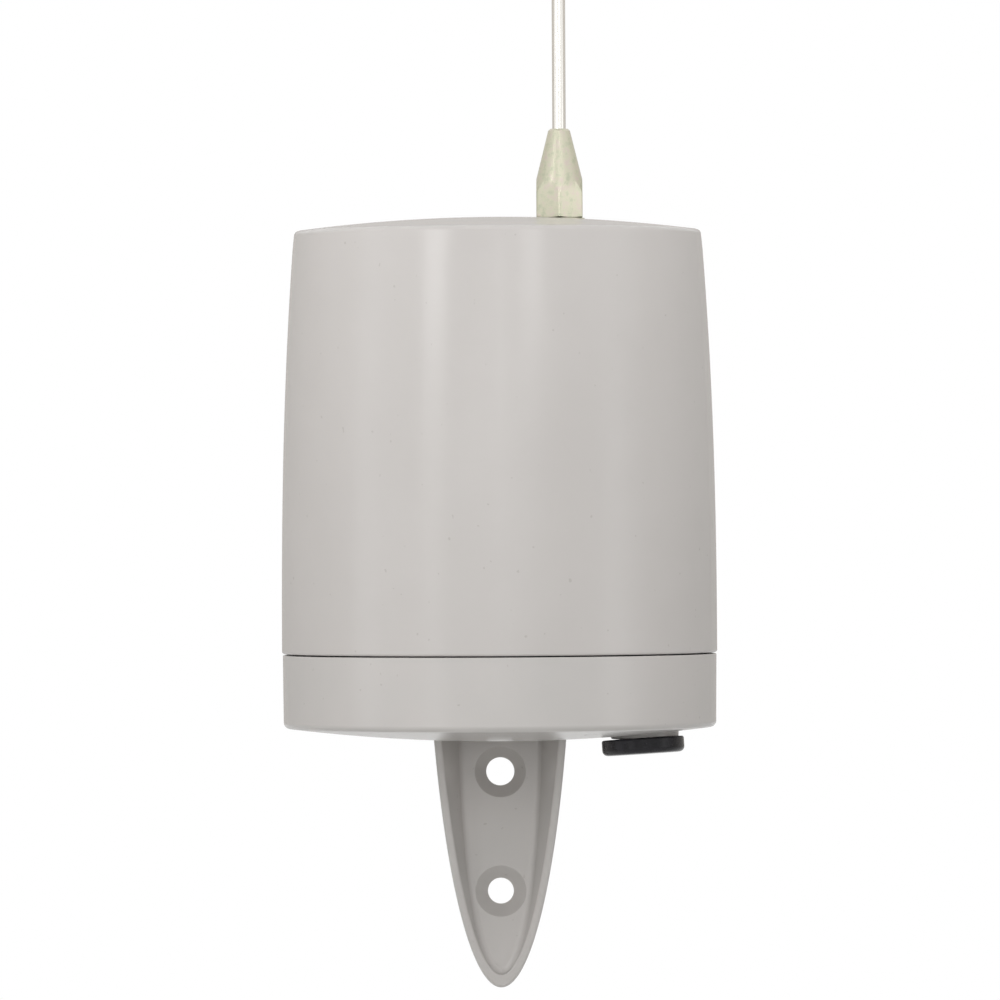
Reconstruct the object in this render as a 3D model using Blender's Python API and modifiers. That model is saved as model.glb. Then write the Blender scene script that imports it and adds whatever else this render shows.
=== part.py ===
"""Outdoor radio receiver of a roller shutter motor: a round two-shell wall housing with a whip aerial.

Metres, +Z up. The origin is on the wall plane, midway between the two wall screws. The housing stands in
front of the wall, towards -Y, and its axis is vertical.
"""
import bpy
import bmesh
import math

MM = 0.001

# ---- driving dimensions -------------------------------------------------------------------------
# Places along the wall
SCREW_SPACING = 21.2 * MM           # between the two wall screws
SCREWS_TO_SEAM = 32.0 * MM          # from midway between the wall screws up to the seam
WALL_GAP = 0.5 * MM                 # between the wall and the nearest side of the housing

# Cover: a barrel that narrows towards a domed roof
SEAM_RADIUS = 37.84 * MM
COVER_TAPER = 2.44 * MM             # how much narrower the roof's edge is than the seam
TAPER_POWER = 2.4                   # the wall leans in ever faster towards the roof
COVER_HEIGHT = 73.6 * MM            # from the seam to the roof's edge
ROOF_RISE = 2.35 * MM
ROOF_CORNER = 0.9 * MM
COVER_WALL = 2.2 * MM
ROOF_THICKNESS = 2.2 * MM
SEAM_GAP = 0.4 * MM
SEAM_EDGE = 0.35 * MM               # rounding of the shells' edges along the seam

# Base: a shallow cup with a domed underside
BASE_STEP = 0.14 * MM               # how far the base stands in from the cover at the seam
BASE_TAPER = 0.1 * MM
BASE_HEIGHT = 12.65 * MM            # from the seam to the underside's edge
UNDERSIDE_SAG = 2.43 * MM
BASE_CORNER = 1.1 * MM
BASE_WALL = 2.2 * MM
FLOOR_THICKNESS = 2.4 * MM
SPIGOT_HEIGHT = 3.7 * MM            # the rim that stands up inside the cover
SPIGOT_THICKNESS = 1.9 * MM
SPIGOT_CLEARANCE = 0.3 * MM

# Seam gasket, in a rebate of the cover's rim
GASKET_WIDTH = 0.9 * MM
GASKET_HEIGHT = 1.0 * MM
SEAT_GAP = 0.2 * MM                 # between pieces that rest on each other

# Bracket tongue below the base
TONGUE_DROP = 27.7 * MM             # from midway between the wall screws down to the tip
TONGUE_HALF_WIDTH = 13.05 * MM      # half axes of the ellipse that its outline follows
TONGUE_LENGTH = 80.2 * MM
TRAY_HALF_WIDTH = 12.72 * MM        # and of the one that its hollow front follows
TRAY_LENGTH = 99.5 * MM
TIP_RIM = 2.4 * MM                  # rim below the hollow, at the tip
BACK_PLATE = 3.0 * MM
TIP_DEPTH = 3.3 * MM                # depth of the rim at the tip
DEPTH_GROWTH = 0.26                 # how much deeper the rim grows for each length up from the tip
TRAY_DRAFT = math.radians(15)
PAD_BELOW_SEAM = 1.2 * MM           # the back plate runs up behind the base to here

# Wall screw holes: a short counterbore, a cone and a round hole
UPPER_HOLE_RADIUS = 2.5 * MM
LOWER_HOLE_RADIUS = 2.3 * MM
SINK_RADIUS = 4.5 * MM
SINK_WALL = 0.5 * MM
SINK_DEPTH = 2.2 * MM

# Cable entry collar and its blanking plug
ENTRY_INSET = 13.04 * MM            # from the housing's right side in to the entry's axis
COLLAR_RADIUS = 5.9 * MM
COLLAR_DROP = 0.2 * MM              # how far the collar's face lies above the underside's lowest point
ENTRY_BORE = 4.6 * MM
PLUG_RADIUS = 7.15 * MM
PLUG_THICKNESS = 2.6 * MM
PLUG_CHAMFER = 0.7 * MM
PLUG_GAP = 0.45 * MM                # the plug sits a little crooked under the collar
PLUG_TILT = math.radians(3.5)       # its right side up
PLUG_PITCH = math.radians(2.0)      # its front up
STEM_CLEARANCE = 0.45 * MM
STEM_LENGTH = 4.6 * MM
STEM_WALL = 1.1 * MM

# Screws that hold the cover down, from below
COVER_SCREW_INSET = 6.64 * MM       # from the housing's side in to the screws' axes
COVER_SCREW_ANGLES = {"cover_screw_back": math.radians(125), "cover_screw_front": math.radians(305)}
TUBE_RADIUS = 3.4 * MM              # screw tubes of the base and screw posts of the cover
HEAD_WALL = 1.15 * MM               # plastic round a screw head's recess, at the foot of its tube
COVER_SCREW_RADIUS = 1.75 * MM
COVER_SCREW_HEAD = 3.1 * MM
COVER_SCREW_HEAD_HEIGHT = 2.3 * MM
COVER_SCREW_LENGTH = 24.0 * MM
HEAD_RECESS_DEPTH = 4.0 * MM        # above the underside's edge
SCREW_CLEARANCE = 0.25 * MM
POST_HEIGHT = 14.0 * MM
POST_GAP = 0.4 * MM                 # between a screw post and the spigot below it
POST_ROOF = 2.0 * MM                # plastic left above a post's hole

# Whip aerial
AERIAL_OFFSET = 10.8 * MM           # from the housing's axis, to the right
HEX_ACROSS_FLATS = 8.0 * MM
HEX_CORNER = 0.3 * MM
FERRULE_HEIGHT = 15.3 * MM
CONE_TOP_RADIUS = 1.9 * MM
CONE_HEIGHT = 8.8 * MM              # from where the cone is as wide as the flats to its top
CONE_EDGE = 0.35 * MM
HEX_CHAMFER = 0.2 * MM              # width of the shallow chamfer round the ferrule's lower end
ROD_RADIUS = 1.175 * MM
ROD_CLEARANCE = 0.12 * MM
ROD_REACH = 173.0 * MM              # a quarter of the wavelength at 433 MHz, from the roof to the tip
ROD_GRIP = 5.5 * MM                 # length of the rod inside the ferrule
STUD_RADIUS = 2.45 * MM
STUD_CLEARANCE = 0.2 * MM
STUD_ABOVE = 6.0 * MM               # length of the stud inside the ferrule
FLANGE_RADIUS = 4.3 * MM
FLANGE_THICKNESS = 0.5 * MM
AERIAL_WASHER_RADIUS = 4.4 * MM
AERIAL_WASHER_THICKNESS = 0.5 * MM
SPOT_CLEARANCE = 0.35 * MM          # round the flange, in the roof's spot face
WASHER_PROUD = 0.05 * MM            # the washer stands this far out of the roof
ROOF_PAD_RADIUS = 7.5 * MM
ROOF_PAD_THICKNESS = 2.0 * MM       # under the roof, round the stud
NUT_ACROSS_FLATS = 8.0 * MM
NUT_THICKNESS = 3.6 * MM
NUT_WASHER_RADIUS = 4.9 * MM
NUT_WASHER_THICKNESS = 0.6 * MM
STUD_BELOW_NUT = 1.2 * MM

# Main board, upright in the base, its front towards -Y
BOARD_WIDTH = 58.0 * MM
BOARD_HEIGHT = 66.0 * MM
BOARD_THICKNESS = 1.6 * MM
BOARD_SETBACK = 4.2 * MM            # its front face behind the housing's axis
BOARD_ABOVE_FLOOR = 5.7 * MM        # above the floor's lowest point
PILLAR_WIDTH = 7.0 * MM
PILLAR_DEPTH = 6.5 * MM
PILLAR_HEIGHT = 21.0 * MM           # above the board's lower edge
BOARD_SCREW_SPACING = 44.0 * MM
BOARD_SCREW_HEIGHT = 15.0 * MM      # above the board's lower edge
BOARD_SCREW_RADIUS = 1.45 * MM
BOARD_SCREW_HEAD = 2.7 * MM
BOARD_SCREW_HEAD_HEIGHT = 1.8 * MM
BOARD_SCREW_LENGTH = 7.2 * MM

# Terminal block, five poles
POLES = 5
POLE_PITCH = 5.08 * MM
TERMINAL_PLACE = (4.0 * MM, 8.3 * MM)       # across the board and up from its lower edge
TERMINAL_HEIGHT = 11.0 * MM
TERMINAL_DEPTH = 10.0 * MM
TERMINAL_END = 0.8 * MM
WIRE_POCKET = 3.4 * MM
WIRE_POCKET_DEPTH = 6.0 * MM
TERMINAL_SCREW_RADIUS = 1.6 * MM
TERMINAL_SCREW_HEIGHT = 1.8 * MM
TERMINAL_WELL_DEPTH = 2.6 * MM
TERMINAL_ROUNDING = 0.3 * MM

# Fuse and its clips
FUSE_PLACE = (-10.5 * MM, 20.7 * MM)
FUSE_LENGTH = 20.0 * MM
FUSE_RADIUS = 2.35 * MM
FUSE_CAP_RADIUS = 2.6 * MM
FUSE_CAP_LENGTH = 5.0 * MM
FUSE_STANDOFF = 4.6 * MM
CLIP_THICKNESS = 0.5 * MM
CLIP_WIDTH = 4.0 * MM

# Blocks on the board: name -> (across, up, width, height, depth)
TRANSFORMER = (-13.5 * MM, 50.2 * MM, 27.0 * MM, 30.0 * MM, 21.0 * MM)
TRANSFORMER_ROUNDING = 1.0 * MM
RELAYS = {"relay_up": (8.5 * MM, 34.0 * MM), "relay_down": (22.0 * MM, 34.0 * MM)}
RELAY_SIZE = (12.0 * MM, 19.5 * MM, 15.5 * MM)
RELAY_ROUNDING = 0.5 * MM
CAPACITOR_PLACE = (-6.0 * MM, 29.3 * MM)
CAPACITOR_RADIUS = 4.0 * MM
CAPACITOR_DEPTH = 13.0 * MM
CAPACITOR_ROUNDING = 0.5 * MM
RECTIFIER_PLACE = (-19.5 * MM, 29.3 * MM)
RECTIFIER_RADIUS = 4.2 * MM
RECTIFIER_DEPTH = 5.5 * MM
RECTIFIER_CHAMFER = 0.3 * MM
VARISTOR_PLACE = (12.0 * MM, 18.7 * MM)
VARISTOR_RADIUS = 4.3 * MM
VARISTOR_THICKNESS = 3.6 * MM
VARISTOR_CHAMFER = 1.0 * MM

# Radio daughter board, held off the main board by its pin header
RADIO_PLACE = (14.5 * MM, 55.8 * MM)
RADIO_WIDTH = 24.0 * MM
RADIO_HEIGHT = 18.4 * MM
RADIO_THICKNESS = 1.0 * MM
HEADER_SIZE = (18.0 * MM, 2.5 * MM, 2.1 * MM)
HEADER_UP = 49.5 * MM
CAN_PLACE = (19.3 * MM, 55.5 * MM)
CAN_SIZE = (13.0 * MM, 13.0 * MM, 3.0 * MM)
CAN_ROUNDING = 0.3 * MM
CRYSTAL_PLACE = (5.4 * MM, 54.0 * MM)
CRYSTAL_SIZE = (4.2 * MM, 10.5 * MM, 3.4 * MM)
CRYSTAL_ROUNDING = 1.0 * MM
CONTACT_WIDTH = 3.6 * MM
CONTACT_THICKNESS = 0.4 * MM
CONTACT_FOOT = 6.0 * MM             # length of the leaf that lies on the radio board
CONTACT_HOOK = 1.6 * MM             # radius of its hooked end, under the stud
CONTACT_GAP = 0.3 * MM              # to the stud's lower end

# Learn switch and status light, at the board's lower corners
LEARN_PLACE = (24.0 * MM, 5.5 * MM)
LEARN_CASE = (6.2 * MM, 6.2 * MM, 3.5 * MM)
LEARN_CASE_CHAMFER = 0.3 * MM
LEARN_BUTTON_RADIUS = 1.75 * MM
LEARN_BUTTON_CLEARANCE = 0.15 * MM
LEARN_BUTTON_PROUD = 1.6 * MM
LEARN_BUTTON_SUNK = 1.4 * MM
LEARN_BUTTON_CHAMFER = 0.25 * MM
LEARN_TRAVEL = 0.5 * MM
LIGHT_PLACE = (-17.0 * MM, 6.5 * MM)
LIGHT_RADIUS = 1.5 * MM
LIGHT_COLLAR = 1.9 * MM
LIGHT_COLLAR_HEIGHT = 1.0 * MM
LIGHT_HEIGHT = 5.0 * MM

HOUSING_SEGMENTS = 56
OVERCUT = 1.0 * MM                  # how far a cutter reaches past what it cuts

# ---- sizes that follow from them ----------------------------------------------------------------
AXIS_Y = -(SEAM_RADIUS + WALL_GAP)
BASE_RADIUS = SEAM_RADIUS - BASE_STEP
ENTRY_OFFSET = SEAM_RADIUS - ENTRY_INSET
COVER_SCREW_CIRCLE = SEAM_RADIUS - COVER_SCREW_INSET
SEAM_Z = SCREWS_TO_SEAM
COVER_FOOT_Z = SEAM_Z + SEAM_GAP / 2
SHOULDER_Z = SEAM_Z - SEAM_GAP / 2
ROOF_EDGE_Z = SEAM_Z + COVER_HEIGHT
UNDERSIDE_EDGE_Z = SEAM_Z - BASE_HEIGHT
LOWEST_Z = UNDERSIDE_EDGE_Z - UNDERSIDE_SAG
FLOOR_Z = LOWEST_Z + FLOOR_THICKNESS
COVER_INSIDE = SEAM_RADIUS - COVER_WALL
SPIGOT_RADIUS = COVER_INSIDE - SPIGOT_CLEARANCE
SPIGOT_INSIDE = SPIGOT_RADIUS - SPIGOT_THICKNESS
SPIGOT_TOP_Z = SHOULDER_Z + SPIGOT_HEIGHT
TIP_Z = -TONGUE_DROP
PAD_TOP_Z = SHOULDER_Z - PAD_BELOW_SEAM
COLLAR_Z = LOWEST_Z + COLLAR_DROP
BOARD_Z = FLOOR_Z + BOARD_ABOVE_FLOOR


# ---- tools --------------------------------------------------------------------------------------
def clear_scene():
    for leftover in list(bpy.data.objects):
        bpy.data.objects.remove(leftover)


def new_collection(name):
    collection = bpy.data.collections.new(name)
    bpy.context.scene.collection.children.link(collection)
    return collection


def finish_material(name, colour, roughness, metallic=0.0):
    """A Principled BSDF in the finish of one kind of piece."""
    material = bpy.data.materials.new(name)
    material.use_nodes = True
    shader = material.node_tree.nodes["Principled BSDF"]
    shader.inputs["Base Color"].default_value = (*colour, 1.0)
    shader.inputs["Roughness"].default_value = roughness
    shader.inputs["Metallic"].default_value = metallic
    return material


def place_object(name, mesh, material, parent, location=(0, 0, 0), rotation=(0, 0, 0)):
    """An object of the model, or a cutter where it has no material."""
    piece = bpy.data.objects.new(name, mesh)
    (PARTS if material else CUTTERS).objects.link(piece)
    if material:
        mesh.materials.append(material)
    else:
        piece.hide_render = True
        piece.display_type = "WIRE"
    piece.parent = parent
    piece.location = location
    piece.rotation_euler = rotation
    return piece


def guide(name, location, parent=None):
    """An empty that carries the pieces of one assembly."""
    empty = bpy.data.objects.new(name, None)
    PARTS.objects.link(empty)
    empty.parent = parent
    empty.location = location
    return empty


def turned(name, profile, material, parent, location=(0, 0, 0), rotation=(0, 0, 0), segments=24, closed=False):
    """Turn a profile of (radius, height) points round +Z; its outer side runs from top to bottom."""
    count = len(profile)
    edges = [(i, i + 1) for i in range(count - 1)]
    if closed:
        edges.append((count - 1, 0))
    mesh = bpy.data.meshes.new(name)
    mesh.from_pydata([(radius, 0, height) for radius, height in profile], edges, [])
    piece = place_object(name, mesh, material, parent, location, rotation)
    turn = piece.modifiers.new("turn", "SCREW")
    turn.axis = "Z"
    turn.steps = turn.render_steps = segments
    turn.use_merge_vertices = True
    turn.merge_threshold = 0.00001
    turn.use_smooth_shade = True
    return piece


def rod_profile(radius, bottom, top, chamfer=0.0):
    """A round bar's profile; a chamfer of nought gives a square end."""
    if chamfer == 0.0:
        return [(0, top), (radius, top), (radius, bottom), (0, bottom)]
    return [(0, top), (radius - chamfer, top), (radius, top - chamfer),
            (radius, bottom + chamfer), (radius - chamfer, bottom), (0, bottom)]


def ring_profile(inside, outside, bottom, top):
    return [(outside, top), (outside, bottom), (inside, bottom), (inside, top)]


def block(name, size, material, parent, location=(0, 0, 0), bevel=0.0, segments=2):
    """A box of the given width, depth and height round its own centre."""
    mesh = bpy.data.meshes.new(name)
    form = bmesh.new()
    bmesh.ops.create_cube(form, size=1.0)
    bmesh.ops.scale(form, vec=size, verts=form.verts)
    form.to_mesh(mesh)
    form.free()
    piece = place_object(name, mesh, material, parent, location)
    if bevel > 0.0:
        round_edges(piece, bevel, segments)
    return piece


def hexagon(name, across_flats, height, material, parent, location=(0, 0, 0)):
    """A hexagon bar that stands on its own origin, one corner towards the front."""
    mesh = bpy.data.meshes.new(name)
    form = bmesh.new()
    corner_radius = across_flats / math.sqrt(3)
    bmesh.ops.create_cone(form, cap_ends=True, segments=6, radius1=corner_radius, radius2=corner_radius,
                          depth=height)
    bmesh.ops.translate(form, vec=(0, 0, height / 2), verts=form.verts)
    form.to_mesh(mesh)
    form.free()
    return place_object(name, mesh, material, parent, location)


def lofted(name, sections, material, parent, location=(0, 0, 0)):
    """A closed solid through sections of as many points each."""
    mesh = bpy.data.meshes.new(name)
    form = bmesh.new()
    loops = [[form.verts.new(point) for point in section] for section in sections]
    count = len(sections[0])
    for lower, upper in zip(loops, loops[1:]):
        for i in range(count):
            j = (i + 1) % count
            form.faces.new((lower[i], lower[j], upper[j], upper[i]))
    form.faces.new(loops[0])
    form.faces.new(loops[-1])
    bmesh.ops.recalc_face_normals(form, faces=form.faces)
    form.to_mesh(mesh)
    form.free()
    return place_object(name, mesh, material, parent, location)


def front_outline(outline, y):
    return [(x, y, z) for x, z in outline]


def side_outline(outline, x):
    return [(x, y, z) for y, z in outline]


def round_edges(piece, width, segments=2, angle=math.radians(40)):
    bevel = piece.modifiers.new("rounded edges", "BEVEL")
    bevel.width = width
    bevel.segments = segments
    bevel.limit_method = "ANGLE"
    bevel.angle_limit = angle


def combine(piece, tool, operation):
    """A Boolean of a cutter or a joined form on a piece."""
    boolean = piece.modifiers.new(f"{operation.lower()} {tool.name}", "BOOLEAN")
    boolean.operation = operation
    boolean.solver = "EXACT"
    boolean.object = tool


def arc(centre_radius, centre_height, radius, start, end, steps):
    """Points of an arc, from the start angle to the end angle in degrees."""
    angles = [math.radians(start + (end - start) * i / steps) for i in range(steps + 1)]
    return [(centre_radius + radius * math.cos(a), centre_height + radius * math.sin(a)) for a in angles]


# ---- cover --------------------------------------------------------------------------------------
def cover_radius(z):
    """The barrel's outer radius at a height: straight at the seam, leaning in towards the roof."""
    share = (z - SEAM_Z) / COVER_HEIGHT
    return SEAM_RADIUS - COVER_TAPER * share ** TAPER_POWER


def roof_height(radius):
    """Height of the roof's outer face at a radius from the housing's axis."""
    return ROOF_EDGE_Z + ROOF_RISE * (1 - (radius / cover_radius(ROOF_EDGE_Z)) ** 2)


def shell_side(inset, drop, bottom, corner, wall_steps, roof_steps):
    """Half profile of the barrel and its roof, set in by a wall, from the axis out and down."""
    edge = cover_radius(ROOF_EDGE_Z) - inset
    rim = edge - corner
    roof = [(rim * i / roof_steps, roof_height(rim * i / roof_steps) - drop) for i in range(roof_steps)]
    corner_z = roof_height(rim) - drop - corner
    bend = arc(rim, corner_z, corner, 90, 0, 3)
    heights = [corner_z + (bottom - corner_z) * i / wall_steps for i in range(1, wall_steps + 1)]
    return roof + bend + [(cover_radius(z) - inset, z) for z in heights]


def make_cover():
    rebate_radius = SPIGOT_RADIUS + 2 * SEAT_GAP + GASKET_WIDTH
    rebate_z = SHOULDER_Z + 2 * SEAT_GAP + GASKET_HEIGHT
    outside = shell_side(0, 0, COVER_FOOT_Z + SEAM_EDGE, ROOF_CORNER, 9, 5)
    inside = shell_side(COVER_WALL, ROOF_THICKNESS, rebate_z, ROOF_CORNER, 4, 3)
    rim = [(cover_radius(COVER_FOOT_Z) - SEAM_EDGE, COVER_FOOT_Z), (rebate_radius, COVER_FOOT_Z),
           (rebate_radius, rebate_z)]
    cover = turned("cover", outside + rim + inside[::-1], GREY_COVER, HOUSING, segments=HOUSING_SEGMENTS)

    post_z = SPIGOT_TOP_Z + POST_GAP
    hole_top = post_z + POST_HEIGHT - POST_ROOF
    for name, angle in COVER_SCREW_ANGLES.items():
        post = screw_post(f"{name}_post", angle, post_z, post_z + POST_HEIGHT)
        combine(cover, post, "UNION")
    pad = turned("roof_pad", rod_profile(ROOF_PAD_RADIUS, roof_pad_z(), spot_face_z()), None, AERIAL,
                 segments=32)
    combine(cover, pad, "UNION")
    for name, angle in COVER_SCREW_ANGLES.items():
        pilot = turned(f"{name}_pilot", rod_profile(COVER_SCREW_RADIUS + SCREW_CLEARANCE, post_z - OVERCUT,
                                                    hole_top), None, HOUSING, around(angle), segments=16)
        combine(cover, pilot, "DIFFERENCE")
    hole = STUD_RADIUS + STUD_CLEARANCE
    spot = FLANGE_RADIUS + SPOT_CLEARANCE
    stud_way = [(0, roof_height(0) + OVERCUT), (spot, roof_height(0) + OVERCUT), (spot, spot_face_z()),
                (hole, spot_face_z()), (hole, roof_pad_z() - OVERCUT), (0, roof_pad_z() - OVERCUT)]
    combine(cover, turned("stud_way", stud_way, None, AERIAL, segments=32), "DIFFERENCE")


def around(angle, radius=COVER_SCREW_CIRCLE):
    """A place round the housing's axis."""
    return (radius * math.cos(angle), radius * math.sin(angle), 0)


def screw_post(name, angle, bottom, top):
    """A screw post, round inwards and joined to the wall by its full width outwards."""
    reach = SEAM_RADIUS - COVER_WALL / 2
    nose = [(COVER_SCREW_CIRCLE + x, y) for x, y in arc(0, 0, TUBE_RADIUS, 90, 270, 8)]
    corner = math.sqrt(reach ** 2 - TUBE_RADIUS ** 2)
    outline = nose + [(corner, -TUBE_RADIUS), (reach, 0), (corner, TUBE_RADIUS)]
    sections = [[(x, y, z) for x, y in outline] for z in (bottom, top)]
    post = lofted(name, sections, None, HOUSING)
    post.rotation_euler = (0, 0, angle)
    return post


def make_gasket():
    inside = SPIGOT_RADIUS + SEAT_GAP
    bottom = SHOULDER_Z + SEAT_GAP
    turned("seam_gasket", ring_profile(inside, inside + GASKET_WIDTH, bottom, bottom + GASKET_HEIGHT),
           BLACK_RUBBER, HOUSING, segments=HOUSING_SEGMENTS, closed=True)


# ---- base with its bracket tongue ---------------------------------------------------------------
def underside_height(radius):
    """Height of the base's outer face at a radius from the housing's axis."""
    return LOWEST_Z + UNDERSIDE_SAG * (radius / (BASE_RADIUS - BASE_TAPER)) ** 2


def tongue_depth(z):
    """How far the bracket's rim stands off the wall at a height."""
    return TIP_DEPTH + DEPTH_GROWTH * (z - TIP_Z)


def ellipse_outline(tip_z, top_z, half_width, length, steps, inset=0.0):
    """Outline of a pointed tongue from its tip up, both sides; an inset draws in the sides with depth."""
    right = []
    for i in range(1, steps + 1):
        rise = (top_z - tip_z) * (i / steps) ** 2
        edge = half_width * math.sqrt(1 - (1 - rise / length) ** 2)
        drawn_in = inset * (tongue_depth(tip_z + rise) - BACK_PLATE)
        right.append((edge - drawn_in, tip_z + rise))
    left = [(-x, z) for x, z in reversed(right)]
    return [(0, tip_z)] + right + left


def make_tongue():
    """The bracket: a back plate with drafted side walls, deep under the base and shallow at the tip."""
    outline = ellipse_outline(TIP_Z, PAD_TOP_Z, TONGUE_HALF_WIDTH, TONGUE_LENGTH, 16)
    deepest = tongue_depth(PAD_TOP_Z) + OVERCUT
    tongue = lofted("tongue", [front_outline(outline, 0), front_outline(outline, -deepest)], None, None)

    top = PAD_TOP_Z + OVERCUT
    bottom = TIP_Z - OVERCUT
    wedge = [(-tongue_depth(bottom), bottom), (-tongue_depth(top), top), (-2 * deepest, top),
             (-2 * deepest, bottom)]
    reach = TONGUE_HALF_WIDTH + OVERCUT
    front = lofted("tongue_front", [side_outline(wedge, -reach), side_outline(wedge, reach)], None, None)
    combine(tongue, front, "DIFFERENCE")

    tray_tip = TIP_Z + TIP_RIM
    rim = ellipse_outline(tray_tip, top, TRAY_HALF_WIDTH, TRAY_LENGTH, 14)
    foot = ellipse_outline(tray_tip, top, TRAY_HALF_WIDTH, TRAY_LENGTH, 14, math.tan(TRAY_DRAFT))
    floor = front_outline(foot, -BACK_PLATE)
    edge = [(x, -tongue_depth(z), z) for x, z in rim]
    tray = lofted("tray", [floor, edge, front_outline(rim, -2 * deepest)], None, None)
    combine(tongue, tray, "DIFFERENCE")
    return tongue


def wall_screw_hole(name, hole_radius, z):
    """Cutter of a countersunk hole through the back plate, its axis square to the wall."""
    seat = BACK_PLATE - SINK_DEPTH
    mouth = SINK_RADIUS - SINK_WALL * math.tan(TRAY_DRAFT)
    profile = [(0, BACK_PLATE + OVERCUT), (SINK_RADIUS, BACK_PLATE + OVERCUT), (SINK_RADIUS, BACK_PLATE),
               (mouth, BACK_PLATE - SINK_WALL), (hole_radius, seat), (hole_radius, -OVERCUT), (0, -OVERCUT)]
    return turned(name, profile, None, None, (0, 0, z), (math.radians(90), 0, 0), segments=32)


def make_base():
    foot_radius = BASE_RADIUS - BASE_TAPER
    rim = foot_radius - BASE_CORNER
    corner_z = underside_height(rim) + BASE_CORNER
    underside = [(rim * i / 5, underside_height(rim * i / 5)) for i in range(4, -1, -1)]
    outside = [(0, SPIGOT_TOP_Z), (SPIGOT_RADIUS, SPIGOT_TOP_Z), (SPIGOT_RADIUS, SHOULDER_Z),
               (BASE_RADIUS - SEAM_EDGE, SHOULDER_Z), (BASE_RADIUS, SHOULDER_Z - SEAM_EDGE)]
    outside += arc(rim, corner_z, BASE_CORNER, 0, -90, 3) + underside
    base = turned("base_cup", outside, GREY_BASE, HOUSING, segments=HOUSING_SEGMENTS)
    combine(base, make_tongue(), "UNION")

    collar = turned("collar", rod_profile(COLLAR_RADIUS, COLLAR_Z, FLOOR_Z + FLOOR_THICKNESS / 2), None, ENTRY,
                    segments=40)
    combine(base, collar, "UNION")

    cup_radius = BASE_RADIUS - BASE_WALL
    floor = [(cup_radius * i / 3, underside_height(cup_radius * i / 3) + FLOOR_THICKNESS)
             for i in range(3, -1, -1)]
    hollow = [(0, SPIGOT_TOP_Z + OVERCUT), (SPIGOT_INSIDE, SPIGOT_TOP_Z + OVERCUT),
              (SPIGOT_INSIDE, SHOULDER_Z - BASE_WALL), (cup_radius, SHOULDER_Z - BASE_WALL - SPIGOT_THICKNESS)]
    combine(base, turned("hollow", hollow + floor, None, HOUSING, segments=HOUSING_SEGMENTS), "DIFFERENCE")

    pillar_y = BOARD_SETBACK + BOARD_THICKNESS + SEAT_GAP + PILLAR_DEPTH / 2
    pillar_foot = LOWEST_Z + FLOOR_THICKNESS / 2
    pillar_top = BOARD_Z + PILLAR_HEIGHT
    for side, place in (("left", -1), ("right", 1)):
        x = place * BOARD_SCREW_SPACING / 2
        foot = pillar_foot + underside_height(abs(x)) - LOWEST_Z
        pillar = block(f"pillar_{side}", (PILLAR_WIDTH, PILLAR_DEPTH, pillar_top - foot), None, HOUSING,
                       (x, pillar_y, (foot + pillar_top) / 2))
        combine(base, pillar, "UNION")
    for name, angle in COVER_SCREW_ANGLES.items():
        foot = underside_height(COVER_SCREW_CIRCLE) + FLOOR_THICKNESS / 2
        wide = COVER_SCREW_HEAD + SCREW_CLEARANCE + HEAD_WALL
        neck = head_seat_z() + HEAD_WALL
        profile = [(0, SPIGOT_TOP_Z), (TUBE_RADIUS, SPIGOT_TOP_Z), (TUBE_RADIUS, neck + wide - TUBE_RADIUS),
                   (wide, neck), (wide, foot), (0, foot)]
        tube = turned(f"{name}_tube", profile, None, HOUSING, around(angle), segments=24)
        combine(base, tube, "UNION")

    for name, hole_radius, z in (("upper_hole", UPPER_HOLE_RADIUS, SCREW_SPACING / 2),
                                 ("lower_hole", LOWER_HOLE_RADIUS, -SCREW_SPACING / 2)):
        combine(base, wall_screw_hole(name, hole_radius, z), "DIFFERENCE")
    bore_profile = rod_profile(ENTRY_BORE, COLLAR_Z - OVERCUT, FLOOR_Z + 2 * FLOOR_THICKNESS)
    bore = turned("entry_bore", bore_profile, None, ENTRY, segments=32)
    combine(base, bore, "DIFFERENCE")
    for name, angle in COVER_SCREW_ANGLES.items():
        shank = COVER_SCREW_RADIUS + SCREW_CLEARANCE
        head = COVER_SCREW_HEAD + SCREW_CLEARANCE
        seat = head_seat_z()
        way = [(0, SPIGOT_TOP_Z + OVERCUT), (shank, SPIGOT_TOP_Z + OVERCUT), (shank, seat), (head, seat),
               (head, LOWEST_Z - OVERCUT), (0, LOWEST_Z - OVERCUT)]
        combine(base, turned(f"{name}_way", way, None, HOUSING, around(angle), segments=20), "DIFFERENCE")
    for name, x in board_screws().items():
        profile = rod_profile(BOARD_SCREW_RADIUS + SCREW_CLEARANCE, -PILLAR_DEPTH * 2, OVERCUT)
        pilot = turned(f"{name}_pilot", profile, None, BOARD, (x, BOARD_THICKNESS, BOARD_SCREW_HEIGHT),
                       (math.radians(90), 0, 0), segments=16)
        combine(base, pilot, "DIFFERENCE")


def head_seat_z():
    return UNDERSIDE_EDGE_Z + HEAD_RECESS_DEPTH


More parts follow.
